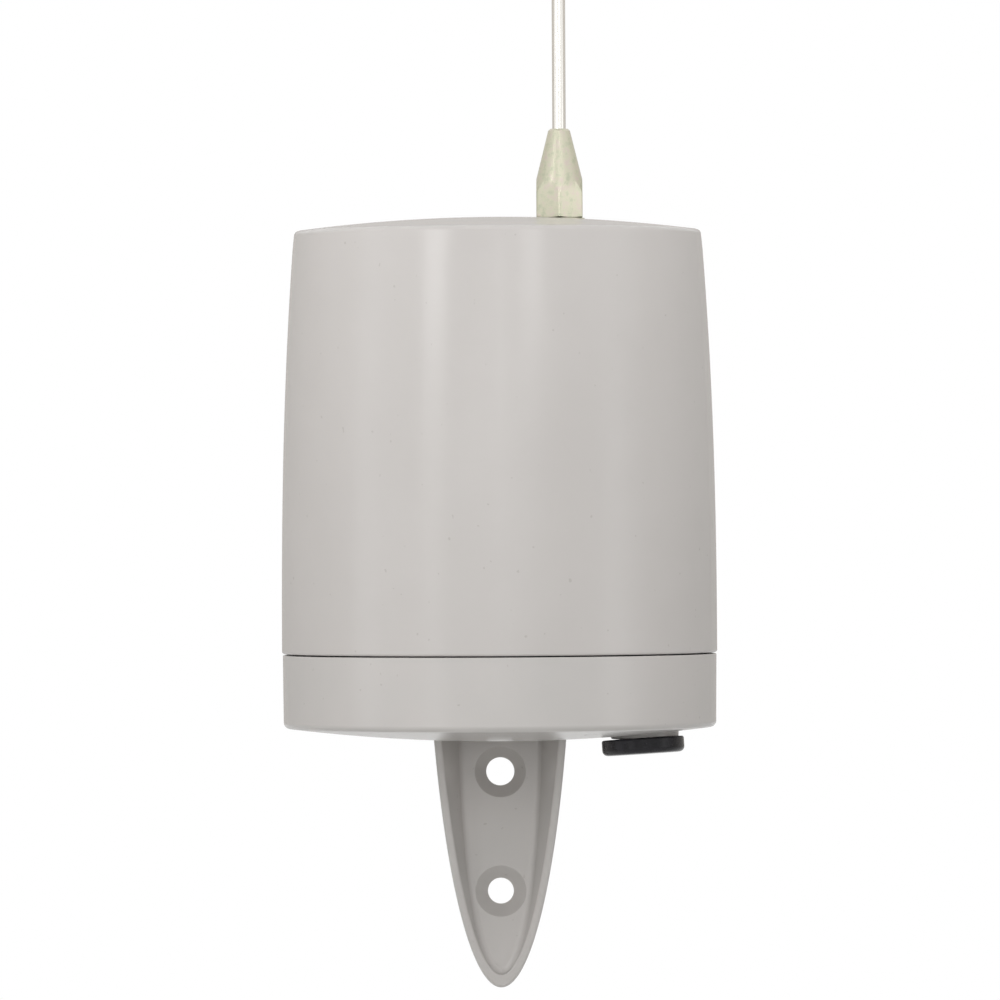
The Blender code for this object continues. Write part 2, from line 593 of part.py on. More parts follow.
def make_cover_screws():
    """Pan-head screws that go up through the base's tubes into the cover's posts."""
    top = head_seat_z() - SEAT_GAP
    for name, angle in COVER_SCREW_ANGLES.items():
        bottom = top - COVER_SCREW_HEAD_HEIGHT
        tip = top + COVER_SCREW_LENGTH
        profile = [(0, tip), (COVER_SCREW_RADIUS / 2, tip), (COVER_SCREW_RADIUS, tip - COVER_SCREW_RADIUS),
                   (COVER_SCREW_RADIUS, top), (COVER_SCREW_HEAD, top),
                   (COVER_SCREW_HEAD, bottom + COVER_SCREW_HEAD_HEIGHT / 2),
                   (COVER_SCREW_HEAD - COVER_SCREW_HEAD_HEIGHT / 2, bottom), (0, bottom)]
        screw = turned(name, profile, ZINC_STEEL, HOUSING, around(angle), segments=16)
        slot = block(f"{name}_slot", (2 * COVER_SCREW_HEAD + OVERCUT, COVER_SCREW_HEAD / 4,
                                      COVER_SCREW_HEAD_HEIGHT), None, screw, (0, 0, bottom))
        combine(screw, slot, "DIFFERENCE")


# ---- blanking plug of the cable entry -----------------------------------------------------------
def make_plug():
    """A rubber plug: a chamfered disc and a hollow stem; it sits a little crooked in the collar."""
    stem = ENTRY_BORE - STEM_CLEARANCE
    step = PLUG_CHAMFER / 2
    profile = [(0, 0), (stem - STEM_WALL, 0), (stem - STEM_WALL, STEM_LENGTH), (stem - step, STEM_LENGTH),
               (stem, STEM_LENGTH - 2 * step), (stem, 0), (PLUG_RADIUS - step, 0), (PLUG_RADIUS, -step),
               (PLUG_RADIUS, PLUG_CHAMFER - PLUG_THICKNESS), (PLUG_RADIUS - PLUG_CHAMFER, -PLUG_THICKNESS),
               (0, -PLUG_THICKNESS)]
    turned("entry_plug", profile, BLACK_RUBBER, ENTRY, (0, 0, COLLAR_Z - PLUG_GAP), (-PLUG_PITCH, -PLUG_TILT, 0),
           segments=40)


# ---- whip aerial --------------------------------------------------------------------------------
def spot_face_z():
    """The stud's flange and the washer lie in a spot face, which leaves the washer a hair proud."""
    stack = SEAT_GAP + FLANGE_THICKNESS + SEAT_GAP + AERIAL_WASHER_THICKNESS
    return roof_height(AERIAL_OFFSET) + WASHER_PROUD - stack


def roof_pad_z():
    return roof_height(AERIAL_OFFSET) - ROOF_THICKNESS - ROOF_PAD_THICKNESS


def ferrule_z():
    return roof_height(AERIAL_OFFSET) + WASHER_PROUD + SEAT_GAP


def stud_foot_z():
    return roof_pad_z() - SEAT_GAP - NUT_WASHER_THICKNESS - SEAT_GAP - NUT_THICKNESS - STUD_BELOW_NUT


def make_stud():
    """The threaded stud through the roof, with its flange above and its washer and nut below."""
    flange = spot_face_z() + SEAT_GAP
    profile = [(0, ferrule_z() + STUD_ABOVE), (STUD_RADIUS - CONE_EDGE, ferrule_z() + STUD_ABOVE),
               (STUD_RADIUS, ferrule_z() + STUD_ABOVE - CONE_EDGE), (STUD_RADIUS, flange + FLANGE_THICKNESS),
               (FLANGE_RADIUS, flange + FLANGE_THICKNESS), (FLANGE_RADIUS, flange), (STUD_RADIUS, flange),
               (STUD_RADIUS, stud_foot_z() + CONE_EDGE), (STUD_RADIUS - CONE_EDGE, stud_foot_z()),
               (0, stud_foot_z())]
    turned("aerial_stud", profile, BRASS, AERIAL, segments=24)

    hole = STUD_RADIUS + STUD_CLEARANCE
    washer_top = roof_pad_z() - SEAT_GAP
    turned("stud_washer", ring_profile(hole, NUT_WASHER_RADIUS, washer_top - NUT_WASHER_THICKNESS, washer_top),
           BRASS, AERIAL, segments=24, closed=True)
    nut_z = washer_top - NUT_WASHER_THICKNESS - SEAT_GAP - NUT_THICKNESS
    nut = hexagon("stud_nut", NUT_ACROSS_FLATS, NUT_THICKNESS, BRASS, AERIAL, (0, 0, nut_z))
    thread = turned("nut_thread", rod_profile(hole, -OVERCUT, NUT_THICKNESS + OVERCUT), None, nut, segments=24)
    combine(nut, thread, "DIFFERENCE")


def make_aerial():
    """The washer that turns with the ferrule, the hexagon ferrule with its cone, and the whip rod."""
    hole = STUD_RADIUS + STUD_CLEARANCE
    washer_z = roof_height(AERIAL_OFFSET) + WASHER_PROUD - AERIAL_WASHER_THICKNESS
    turned("aerial_washer", ring_profile(hole, AERIAL_WASHER_RADIUS, 0, AERIAL_WASHER_THICKNESS), ZINC_STEEL,
           AERIAL, (0, 0, washer_z), segments=32, closed=True)

    ferrule = hexagon("hex_ferrule", HEX_ACROSS_FLATS, FERRULE_HEIGHT, ZINC_STEEL, AERIAL, (0, 0, ferrule_z()))
    round_edges(ferrule, HEX_CORNER, 2, math.radians(50))
    half_flats = HEX_ACROSS_FLATS / 2
    slope = (half_flats - CONE_TOP_RADIUS) / CONE_HEIGHT
    wide = HEX_ACROSS_FLATS / math.sqrt(3) + HEX_CHAMFER
    wide_z = FERRULE_HEIGHT - CONE_HEIGHT - (wide - half_flats) / slope
    chamfer_foot = half_flats - HEX_CHAMFER
    envelope = [(0, FERRULE_HEIGHT), (CONE_TOP_RADIUS - CONE_EDGE, FERRULE_HEIGHT),
                (CONE_TOP_RADIUS, FERRULE_HEIGHT - CONE_EDGE), (wide, wide_z),
                (wide, (wide - chamfer_foot) / 4), (chamfer_foot, 0), (0, 0)]
    combine(ferrule, turned("ferrule_envelope", envelope, None, ferrule, segments=40), "INTERSECT")
    rod_hole = ROD_RADIUS + ROD_CLEARANCE
    rod_seat = FERRULE_HEIGHT - ROD_GRIP - ROD_CLEARANCE
    top_bore = turned("rod_bore", rod_profile(rod_hole, rod_seat, FERRULE_HEIGHT + OVERCUT), None, ferrule,
                      segments=16)
    combine(ferrule, top_bore, "DIFFERENCE")
    thread = turned("ferrule_thread", rod_profile(hole, -OVERCUT, STUD_ABOVE + STUD_CLEARANCE), None, ferrule,
                    segments=24)
    combine(ferrule, thread, "DIFFERENCE")

    foot = ferrule_z() + FERRULE_HEIGHT - ROD_GRIP
    tip = roof_height(AERIAL_OFFSET) + ROD_REACH
    whip = arc(0, tip - ROD_RADIUS, ROD_RADIUS, 90, 0, 4) + [(ROD_RADIUS, foot), (0, foot)]
    turned("whip_rod", whip, POLISHED_STEEL, AERIAL, segments=16)


# ---- main board ---------------------------------------------------------------------------------
def board_screws():
    return {"board_screw_left": -BOARD_SCREW_SPACING / 2, "board_screw_right": BOARD_SCREW_SPACING / 2}


def on_board(name, place, size, material, bevel=0.0, standoff=SEAT_GAP, segments=2):
    """A block in front of the board: its place across and up, its width, height and depth."""
    width, height, depth = size
    return block(name, (width, depth, height), material, BOARD,
                 (place[0], -standoff - depth / 2, place[1]), bevel, segments)


def make_board():
    board = block("main_board", (BOARD_WIDTH, BOARD_THICKNESS, BOARD_HEIGHT), GREEN_BOARD, BOARD,
                  (0, BOARD_THICKNESS / 2, BOARD_HEIGHT / 2))
    for name, x in board_screws().items():
        profile = rod_profile(BOARD_SCREW_RADIUS + SCREW_CLEARANCE, -BOARD_THICKNESS - OVERCUT, OVERCUT)
        hole = turned(f"{name}_hole", profile, None, BOARD, (x, 0, BOARD_SCREW_HEIGHT),
                      (math.radians(90), 0, 0), segments=16)
        combine(board, hole, "DIFFERENCE")
        top = SEAT_GAP + BOARD_SCREW_HEAD_HEIGHT
        profile = [(0, top), (BOARD_SCREW_HEAD / 2, top),
                   (BOARD_SCREW_HEAD, SEAT_GAP + BOARD_SCREW_HEAD_HEIGHT / 2),
                   (BOARD_SCREW_HEAD, SEAT_GAP), (BOARD_SCREW_RADIUS, SEAT_GAP),
                   (BOARD_SCREW_RADIUS, SEAT_GAP - BOARD_SCREW_LENGTH), (0, SEAT_GAP - BOARD_SCREW_LENGTH)]
        screw = turned(name, profile, ZINC_STEEL, BOARD, (x, 0, BOARD_SCREW_HEIGHT), (math.radians(90), 0, 0),
                       segments=16)
        slot = block(f"{name}_slot", (2 * BOARD_SCREW_HEAD + OVERCUT, BOARD_SCREW_HEAD / 4,
                                      BOARD_SCREW_HEAD_HEIGHT), None, screw, (0, 0, top))
        combine(screw, slot, "DIFFERENCE")


def make_terminals():
    """Five-pole screw terminal block: wire pockets from below, screws in wells from the front."""
    x, z = TERMINAL_PLACE
    width = POLES * POLE_PITCH + 2 * TERMINAL_END
    housing = on_board("terminal_block", (x, z), (width, TERMINAL_HEIGHT, TERMINAL_DEPTH), GREEN_BLOCK,
                       bevel=TERMINAL_ROUNDING, segments=1)
    screw_z = z + TERMINAL_HEIGHT / 6
    facing = (math.radians(90), 0, 0)
    front = SEAT_GAP + TERMINAL_DEPTH
    seat = front - TERMINAL_WELL_DEPTH
    head = seat + SEAT_GAP + TERMINAL_SCREW_HEIGHT
    for pole in range(POLES):
        pole_x = x + (pole - (POLES - 1) / 2) * POLE_PITCH
        pocket = block(f"wire_pocket_{pole + 1}", (WIRE_POCKET, WIRE_POCKET, WIRE_POCKET_DEPTH * 2), None,
                       BOARD, (pole_x, -SEAT_GAP - TERMINAL_DEPTH / 2, z - TERMINAL_HEIGHT / 2))
        combine(housing, pocket, "DIFFERENCE")
        well = turned(f"screw_well_{pole + 1}",
                      rod_profile(TERMINAL_SCREW_RADIUS + SEAT_GAP, seat, front + OVERCUT), None, BOARD,
                      (pole_x, 0, screw_z), facing, segments=16)
        combine(housing, well, "DIFFERENCE")
        screw = turned(f"terminal_screw_{pole + 1}",
                       rod_profile(TERMINAL_SCREW_RADIUS, seat + SEAT_GAP, head, chamfer=SEAT_GAP),
                       ZINC_STEEL, BOARD, (pole_x, 0, screw_z), facing, segments=16)
        slot_size = (2 * TERMINAL_SCREW_RADIUS + OVERCUT, TERMINAL_SCREW_RADIUS / 3, TERMINAL_SCREW_HEIGHT)
        slot = block(f"terminal_slot_{pole + 1}", slot_size, None, screw, (0, 0, head))
        combine(screw, slot, "DIFFERENCE")


def make_fuse():
    """Glass fuse with its two end caps, each in a spring clip on the board."""
    x, z = FUSE_PLACE
    along = (0, math.radians(90), 0)
    centre = (x, -FUSE_STANDOFF, z)
    half = FUSE_LENGTH / 2
    inner = half - FUSE_CAP_LENGTH + SEAT_GAP
    turned("fuse_glass", rod_profile(FUSE_RADIUS, -inner + 2 * SEAT_GAP, inner - 2 * SEAT_GAP), FUSE_CLEAR,
           BOARD, centre, along, segments=16)
    clip_inside = FUSE_CAP_RADIUS + SEAT_GAP
    clip_outside = clip_inside + CLIP_THICKNESS
    back = FUSE_STANDOFF - SEAT_GAP
    for side, place in (("left", -1), ("right", 1)):
        cap_x = x + place * (half - FUSE_CAP_LENGTH / 2)
        turned(f"fuse_cap_{side}", rod_profile(FUSE_CAP_RADIUS, -FUSE_CAP_LENGTH / 2, FUSE_CAP_LENGTH / 2,
                                               chamfer=SEAT_GAP), TIN, BOARD, (cap_x, -FUSE_STANDOFF, z), along,
               segments=16)
        outer = [(back, -clip_outside)] + [(-y, w) for y, w in arc(0, 0, clip_outside, -90, -50, 3)]
        inner_side = [(-y, w) for y, w in arc(0, 0, clip_inside, -50, -90, 3)]
        floor_y = back - CLIP_THICKNESS
        half_outline = outer + inner_side + [(floor_y, -clip_inside)]
        outline = half_outline + [(y, -w) for y, w in reversed(half_outline)]
        sections = [side_outline(outline, end * CLIP_WIDTH / 2) for end in (-1, 1)]
        lofted(f"fuse_clip_{side}", sections, TIN, BOARD, (cap_x, -FUSE_STANDOFF, z))


def make_power_parts():
    x, z, width, height, depth = TRANSFORMER
    on_board("transformer", (x, z), (width, height, depth), BLUE_RESIN, bevel=TRANSFORMER_ROUNDING)
    for name, place in RELAYS.items():
        on_board(name, place, RELAY_SIZE, BLACK_PLASTIC, bevel=RELAY_ROUNDING, segments=1)
    facing = (math.radians(90), 0, 0)
    x, z = CAPACITOR_PLACE
    turned("capacitor", rod_profile(CAPACITOR_RADIUS, SEAT_GAP, SEAT_GAP + CAPACITOR_DEPTH,
                                    chamfer=CAPACITOR_ROUNDING), DARK_SLEEVE, BOARD, (x, 0, z), facing,
           segments=20)
    x, z = RECTIFIER_PLACE
    turned("rectifier", rod_profile(RECTIFIER_RADIUS, SEAT_GAP, SEAT_GAP + RECTIFIER_DEPTH,
                                    chamfer=RECTIFIER_CHAMFER), BLACK_PLASTIC, BOARD, (x, 0, z), facing,
           segments=20)
    x, z = VARISTOR_PLACE
    turned("varistor", rod_profile(VARISTOR_RADIUS, -VARISTOR_THICKNESS / 2, VARISTOR_THICKNESS / 2,
                                   chamfer=VARISTOR_CHAMFER), BLUE_RESIN, BOARD,
           (x, -SEAT_GAP - VARISTOR_RADIUS, z), (0, math.radians(90), 0), segments=20)


def make_radio():
    """The radio daughter board on its pin header, with a shield can, a crystal and the aerial contact."""
    x, z = RADIO_PLACE
    header_depth = HEADER_SIZE[2]
    on_board("pin_header", (x, HEADER_UP), HEADER_SIZE, BLACK_PLASTIC)
    radio_back = SEAT_GAP + header_depth + SEAT_GAP
    on_board("radio_board", (x, z), (RADIO_WIDTH, RADIO_HEIGHT, RADIO_THICKNESS), GREEN_BOARD,
             standoff=radio_back)
    face = radio_back + RADIO_THICKNESS + SEAT_GAP
    on_board("radio_can", CAN_PLACE, CAN_SIZE, TIN, bevel=CAN_ROUNDING, standoff=face, segments=1)
    on_board("crystal", CRYSTAL_PLACE, CRYSTAL_SIZE, TIN, bevel=CRYSTAL_ROUNDING, standoff=face)

    leaf_y = -face - CONTACT_THICKNESS / 2
    top = stud_foot_z() - CONTACT_GAP - CONTACT_THICKNESS / 2 - BOARD_Z
    foot = z + RADIO_HEIGHT / 2 - CONTACT_FOOT
    hook = arc(leaf_y - CONTACT_HOOK, top - CONTACT_HOOK, CONTACT_HOOK, 0, 150, 5)
    make_leaf("aerial_contact", [(leaf_y, foot)] + hook, AERIAL_OFFSET)


def make_leaf(name, path, x):
    """A spring leaf: a strip along a path in depth and height, with the metal's thickness."""
    mesh = bpy.data.meshes.new(name)
    form = bmesh.new()
    points = [form.verts.new((-CONTACT_WIDTH / 2, y, z)) for y, z in path]
    edges = [form.edges.new(pair) for pair in zip(points, points[1:])]
    swept = bmesh.ops.extrude_edge_only(form, edges=edges)
    moved = [v for v in swept["geom"] if isinstance(v, bmesh.types.BMVert)]
    bmesh.ops.translate(form, vec=(CONTACT_WIDTH, 0, 0), verts=moved)
    bmesh.ops.recalc_face_normals(form, faces=form.faces)
    form.to_mesh(mesh)
    form.free()
    leaf = place_object(name, mesh, BRASS, BOARD, (x, 0, 0))
    shell = leaf.modifiers.new("metal", "SOLIDIFY")
    shell.thickness = CONTACT_THICKNESS
    shell.offset = 0.0


def make_learn_switch():
    x, z = LEARN_PLACE
    case = on_board("learn_switch", (x, z), LEARN_CASE, BLACK_PLASTIC, bevel=LEARN_CASE_CHAMFER, segments=1)
    front = SEAT_GAP + LEARN_CASE[2]
    facing = (math.radians(90), 0, 0)
    bottom = front - LEARN_BUTTON_SUNK - LEARN_TRAVEL - LEARN_BUTTON_CLEARANCE
    well_profile = rod_profile(LEARN_BUTTON_RADIUS + LEARN_BUTTON_CLEARANCE, bottom, front + OVERCUT)
    well = turned("learn_well", well_profile, None, BOARD, (x, 0, z), facing, segments=20)
    combine(case, well, "DIFFERENCE")
    turned("learn_button", rod_profile(LEARN_BUTTON_RADIUS, -LEARN_BUTTON_SUNK, LEARN_BUTTON_PROUD,
                                       chamfer=LEARN_BUTTON_CHAMFER),
           RED_PLASTIC, BOARD, (x, -front, z), facing, segments=20)


def make_light():
    x, z = LIGHT_PLACE
    dome = arc(0, SEAT_GAP + LIGHT_HEIGHT - LIGHT_RADIUS, LIGHT_RADIUS, 90, 0, 4)
    collar = SEAT_GAP + LIGHT_COLLAR_HEIGHT
    profile = dome + [(LIGHT_RADIUS, collar), (LIGHT_COLLAR, collar), (LIGHT_COLLAR, SEAT_GAP), (0, SEAT_GAP)]
    turned("status_led", profile, RED_PLASTIC, BOARD, (x, 0, z), (math.radians(90), 0, 0), segments=16)


# ---- build --------------------------------------------------------------------------------------
clear_scene()
PARTS = new_collection("shutter_motor_receiver")
CUTTERS = new_collection("cutters")

GREY_COVER = finish_material("grey cover plastic", (0.55, 0.53, 0.51), 0.5)
GREY_BASE = finish_material("grey base plastic", (0.47, 0.45, 0.43), 0.5)
BLACK_RUBBER = finish_material("black rubber", (0.02, 0.02, 0.022), 0.6)
BLACK_PLASTIC = finish_material("black plastic", (0.03, 0.03, 0.03), 0.45)
RED_PLASTIC = finish_material("red plastic", (0.5, 0.03, 0.02), 0.35)
ZINC_STEEL = finish_material("yellow passivated zinc on steel", (0.66, 0.66, 0.5), 0.35, 1.0)
POLISHED_STEEL = finish_material("polished stainless steel", (0.8, 0.79, 0.76), 0.15, 1.0)
BRASS = finish_material("nickel brass", (0.7, 0.62, 0.4), 0.3, 1.0)
TIN = finish_material("tinned steel", (0.7, 0.7, 0.7), 0.3, 1.0)
GREEN_BOARD = finish_material("green circuit board", (0.03, 0.2, 0.08), 0.4)
GREEN_BLOCK = finish_material("green terminal plastic", (0.05, 0.3, 0.12), 0.45)
BLUE_RESIN = finish_material("blue resin", (0.04, 0.1, 0.35), 0.4)
DARK_SLEEVE = finish_material("dark blue sleeve", (0.02, 0.03, 0.08), 0.35)
FUSE_CLEAR = finish_material("fuse glass", (0.8, 0.85, 0.85), 0.05)

HOUSING = guide("housing_axis", (0, AXIS_Y, 0))
AERIAL = guide("aerial_axis", (AERIAL_OFFSET, 0, 0), HOUSING)
ENTRY = guide("entry_axis", (ENTRY_OFFSET, 0, 0), HOUSING)
BOARD = guide("board_front", (0, BOARD_SETBACK, BOARD_Z), HOUSING)

make_cover()
make_gasket()
make_base()
make_cover_screws()
make_plug()
make_stud()
make_aerial()
make_board()
make_terminals()
make_fuse()
make_power_parts()
make_radio()
make_learn_switch()
make_light()
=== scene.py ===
import math
import bmesh
import bpy
from mathutils import Matrix, Vector


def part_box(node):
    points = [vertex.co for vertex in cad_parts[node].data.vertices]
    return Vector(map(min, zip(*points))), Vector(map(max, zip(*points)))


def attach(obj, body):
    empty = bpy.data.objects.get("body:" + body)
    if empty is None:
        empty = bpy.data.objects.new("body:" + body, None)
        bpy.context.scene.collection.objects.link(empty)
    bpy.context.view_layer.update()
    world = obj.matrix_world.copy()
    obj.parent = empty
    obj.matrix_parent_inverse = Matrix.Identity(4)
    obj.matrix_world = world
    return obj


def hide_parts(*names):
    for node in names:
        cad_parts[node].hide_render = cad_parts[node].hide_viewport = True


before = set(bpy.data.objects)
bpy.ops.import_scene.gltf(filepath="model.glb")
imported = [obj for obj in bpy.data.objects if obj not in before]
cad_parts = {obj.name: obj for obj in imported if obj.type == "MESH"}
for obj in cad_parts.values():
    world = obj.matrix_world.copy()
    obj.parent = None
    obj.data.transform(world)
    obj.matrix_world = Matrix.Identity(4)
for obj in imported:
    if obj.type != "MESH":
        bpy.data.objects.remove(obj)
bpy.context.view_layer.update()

# ---- base with its bracket tongue ----
# The lower shell of the receiver: a shallow cup with a domed underside, moulded in one piece with the
# tongue that is screwed to the wall. It is UV-stable grey ASA from a mould with a fine spark-eroded
# texture.
MM = 0.001


def measured(node):
    """A CAD piece's low corner, high corner and middle."""
    low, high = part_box(node)
    return low, high, tuple((a + b) / 2 for a, b in zip(low, high))


cover_low, cover_high, cover_middle = measured("cover")
base_low, base_high, _ = measured("base_cup")
AXIS = cover_middle[:2]
SEAM_Z = cover_low[2] - 0.2 * MM
SHOULDER_Z = SEAM_Z - 0.02 * MM
BASE_RADIUS = 37.7 * MM
FOOT_RADIUS = 37.6 * MM
UNDERSIDE_Z = 16.92 * MM
UNDERSIDE_SAG = 2.43 * MM
BASE_CORNER = 1.1 * MM
FLOOR_THICKNESS = 2.4 * MM
CUP_RADIUS = 35.5 * MM
SPIGOT_RADIUS = 35.34 * MM
SPIGOT_INSIDE = 33.44 * MM
SPIGOT_TOP_Z = base_high[2]
SPIGOT_LIP = 0.4 * MM
SHOULDER_EDGE = 0.16 * MM
HOUSING_STEPS = 192

TONGUE_TIP_Z = base_low[2]
TONGUE_HALF_WIDTH = 13.05 * MM
TONGUE_LENGTH = 80.2 * MM
TRAY_HALF_WIDTH = 12.72 * MM
TRAY_LENGTH = 99.5 * MM
TIP_RIM = 2.4 * MM
BACK_PLATE = 3.0 * MM
TIP_DEPTH = 3.3 * MM
DEPTH_GROWTH = 0.26
TRAY_DRAFT = math.radians(15)
PAD_TOP_Z = 30.6 * MM
WALL_SCREWS = {10.6 * MM: 2.5 * MM, -10.6 * MM: 2.3 * MM}     # height of each hole -> its radius
SINK_RADIUS = 4.5 * MM
SINK_WALL = 0.5 * MM
SINK_TAPER = 0.3 * MM
SINK_DEPTH = 2.2 * MM

ENTRY = (24.8 * MM, AXIS[1])
COLLAR_RADIUS = 5.9 * MM
COLLAR_Z = 17.15 * MM
COLLAR_HEIGHT = 3.4 * MM
COLLAR_EDGE = 0.3 * MM
COLLAR_SHIFT = 0.35 * MM        # it shows a little right of the bore in the photograph
ENTRY_BORE = 4.6 * MM

COVER_SCREW_CIRCLE = 31.2 * MM
COVER_SCREW_ANGLES = (125, 305)
SCREW_TUBE = 3.4 * MM
SCREW_WAY = 2 * MM
SCREW_BOSS = 4.5 * MM           # round each screw head's recess, at the foot of its tube
SCREW_SEAT_Z = 23.35 * MM
RECESS_RADIUS = 3.35 * MM
CAP_RADIUS = RECESS_RADIUS - 0.1 * MM
SCREW_CAP_Z = 19.9 * MM         # top of the caps in the screw heads' recesses
PILLARS = (-22 * MM, 22 * MM)   # two pillars stand behind the board
PILLAR_WIDTH = 7 * MM
PILLAR_THICKNESS = 6.5 * MM
PILLAR_TOP_Z = 46.0 * MM
PILLAR_FRONT = AXIS[1] + 6.0 * MM
PILOT_RADIUS = 1.7 * MM         # also the screws' holes in the board
REACH = 1 * MM                  # how far cutters and hidden ends go past a surface


def turned(profile, centre=AXIS, steps=HOUSING_STEPS):
    """Spins a profile of (radius, height) points a full turn round an upright axis."""
    form = bmesh.new()
    points = [form.verts.new((centre[0] + radius, centre[1], height)) for radius, height in profile]
    edges = [form.edges.new(pair) for pair in zip(points, points[1:])]
    bmesh.ops.spin(form, geom=points + edges, cent=(*centre, 0), axis=(0, 0, 1), angle=math.tau, steps=steps,
                   use_merge=True)
    bmesh.ops.remove_doubles(form, verts=form.verts, dist=0.002 * MM)
    bmesh.ops.recalc_face_normals(form, faces=form.faces)
    return form


def pin(radius, bottom, top, centre=(0, 0), steps=32):
    """A plain round bar between two heights."""
    return turned([(0, bottom), (radius, bottom), (radius, top), (0, top)], centre, steps)


def arc(radius, height, bend, start, end, steps=5):
    """Points of a rounded corner in a profile, between two angles in degrees."""
    angles = [math.radians(start + (end - start) * i / steps) for i in range(steps + 1)]
    return [(radius + bend * math.cos(a), height + bend * math.sin(a)) for a in angles]


def block(low, high, soft=0.0, segments=3):
    """A block between two corners, all its edges rounded."""
    form = bmesh.new()
    bmesh.ops.create_cube(form, size=1.0)
    bmesh.ops.scale(form, vec=[b - a for a, b in zip(low, high)], verts=form.verts)
    bmesh.ops.translate(form, vec=[(a + b) / 2 for a, b in zip(low, high)], verts=form.verts)
    if soft:
        bmesh.ops.bevel(form, geom=form.edges[:], offset=soft, segments=segments, profile=0.5, affect="EDGES",
                        material=-1, clamp_overlap=True)
    return form


def bar(x, z, half, high, front, back, soft=0.0, segments=1):
    """A block that runs from front to back, by its middle and half its width and height."""
    return block((x - half, front, z - high), (x + half, back, z + high), soft, segments)


def placed(form, place, degrees=90, axis="X"):
    """Turns a form about the origin, then moves it."""
    bmesh.ops.rotate(form, verts=form.verts, matrix=Matrix.Rotation(math.radians(degrees), 3, axis))
    bmesh.ops.translate(form, verts=form.verts, vec=place)
    return form


def as_object(form, name="blank"):
    mesh = bpy.data.meshes.new(name)
    form.to_mesh(mesh)
    form.free()
    made = bpy.data.objects.new(name, mesh)
    bpy.context.scene.collection.objects.link(made)
    return made


def drilled(form, tools, operation="DIFFERENCE"):
    """Cuts holes with closed forms, as a drill or a core pin does."""
    blank = as_object(form)
    cutters = [as_object(tool, "tool") for tool in tools]
    for cutter in cutters:
        cut = blank.modifiers.new("cut", "BOOLEAN")
        cut.operation = operation
        cut.solver = "EXACT"
        cut.object = cutter
    result = bmesh.new()
    result.from_object(blank, bpy.context.evaluated_depsgraph_get())
    for made in [blank] + cutters:
        mesh = made.data
        bpy.data.objects.remove(made)
        bpy.data.meshes.remove(mesh)
    return result


def make_piece(name, forms, material, body, nodes=(), sharp=32):
    """Joins closed forms to one smooth piece that rides on a body and stands for its CAD nodes."""
    whole = bmesh.new()
    for form in forms:
        part = bpy.data.meshes.new(name)
        form.to_mesh(part)
        form.free()
        whole.from_mesh(part)
        bpy.data.meshes.remove(part)
    piece = as_object(whole, name)
    piece.data.materials.append(material)
    piece.data.shade_smooth()
    piece.data.set_sharp_from_angle(angle=math.radians(sharp))
    even = piece.modifiers.new("even shading", "WEIGHTED_NORMAL")
    even.keep_sharp = True
    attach(piece, body)
    if nodes:
        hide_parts(*nodes)
    return piece


def linear(colour):
    """An sRGB hex colour as Blender's linear one."""
    channels = [int(colour[i:i + 2], 16) / 255 for i in (1, 3, 5)]
    return (*[c / 12.92 if c <= 0.04045 else ((c + 0.055) / 1.055) ** 2.4 for c in channels], 1.0)


def add_node(tree, kind, values=None, links=None, feeds=None, **settings):
    """Adds a node with its properties, its sockets' values, what feeds it and what it feeds."""
    node = tree.nodes.new("ShaderNode" + kind)
    for name, value in settings.items():
        setattr(node, name, value)
    for socket, value in (values or {}).items():
        node.inputs[socket].default_value = value
    for socket, source in (links or {}).items():
        tree.links.new(source, node.inputs[socket])
    for output, target in (feeds or {}).items():
        tree.links.new(node.outputs[output], target)
    return node


def new_material(name, **values):
    """A material's node tree, its shader's sockets with the constants set, and the object's coordinates."""
    material = bpy.data.materials.new(name)
    material.use_nodes = True
    tree = material.node_tree
    surface = tree.nodes["Principled BSDF"].inputs
    for socket, value in values.items():
        surface[socket.replace("_", " ")].default_value = value
    place = add_node(tree, "TexCoord").outputs["Object"]
    return material, tree, surface, place


def clouded(name, colours, clouds, gloss, relief=None, **values):
    """A finish of two close colours in soft clouds. Clouds, gloss and relief are each a grain, given as
    (size, detail, roughness), and its range: of the mix, of the roughness, or strength and depth."""
    material, tree, surface, place = new_material(name, **values)
    fields = []
    for size, detail, rough in [pattern[0] for pattern in (clouds, gloss, relief) if pattern]:
        noise = {"Scale": 1 / size, "Detail": detail, "Roughness": rough}
        fields.append(add_node(tree, "TexNoise", noise, {"Vector": place}).outputs["Fac"])
    share = add_node(tree, "MapRange", {"From Min": clouds[1], "From Max": clouds[2]}, {"Value": fields[0]})
    mixed = add_node(tree, "Mix", {6: linear(colours[0]), 7: linear(colours[1])},
                     {0: share.outputs[0]}, {2: surface["Base Color"]}, data_type="RGBA")
    add_node(tree, "MapRange", {"To Min": gloss[1], "To Max": gloss[2]}, {"Value": fields[1]},
             {0: surface["Roughness"]})
    if relief:
        add_node(tree, "Bump", {"Strength": relief[1], "Distance": relief[2]}, {"Height": fields[2]},
                 {"Normal": surface["Normal"]})
    return material, tree, surface, place, mixed.outputs[2]


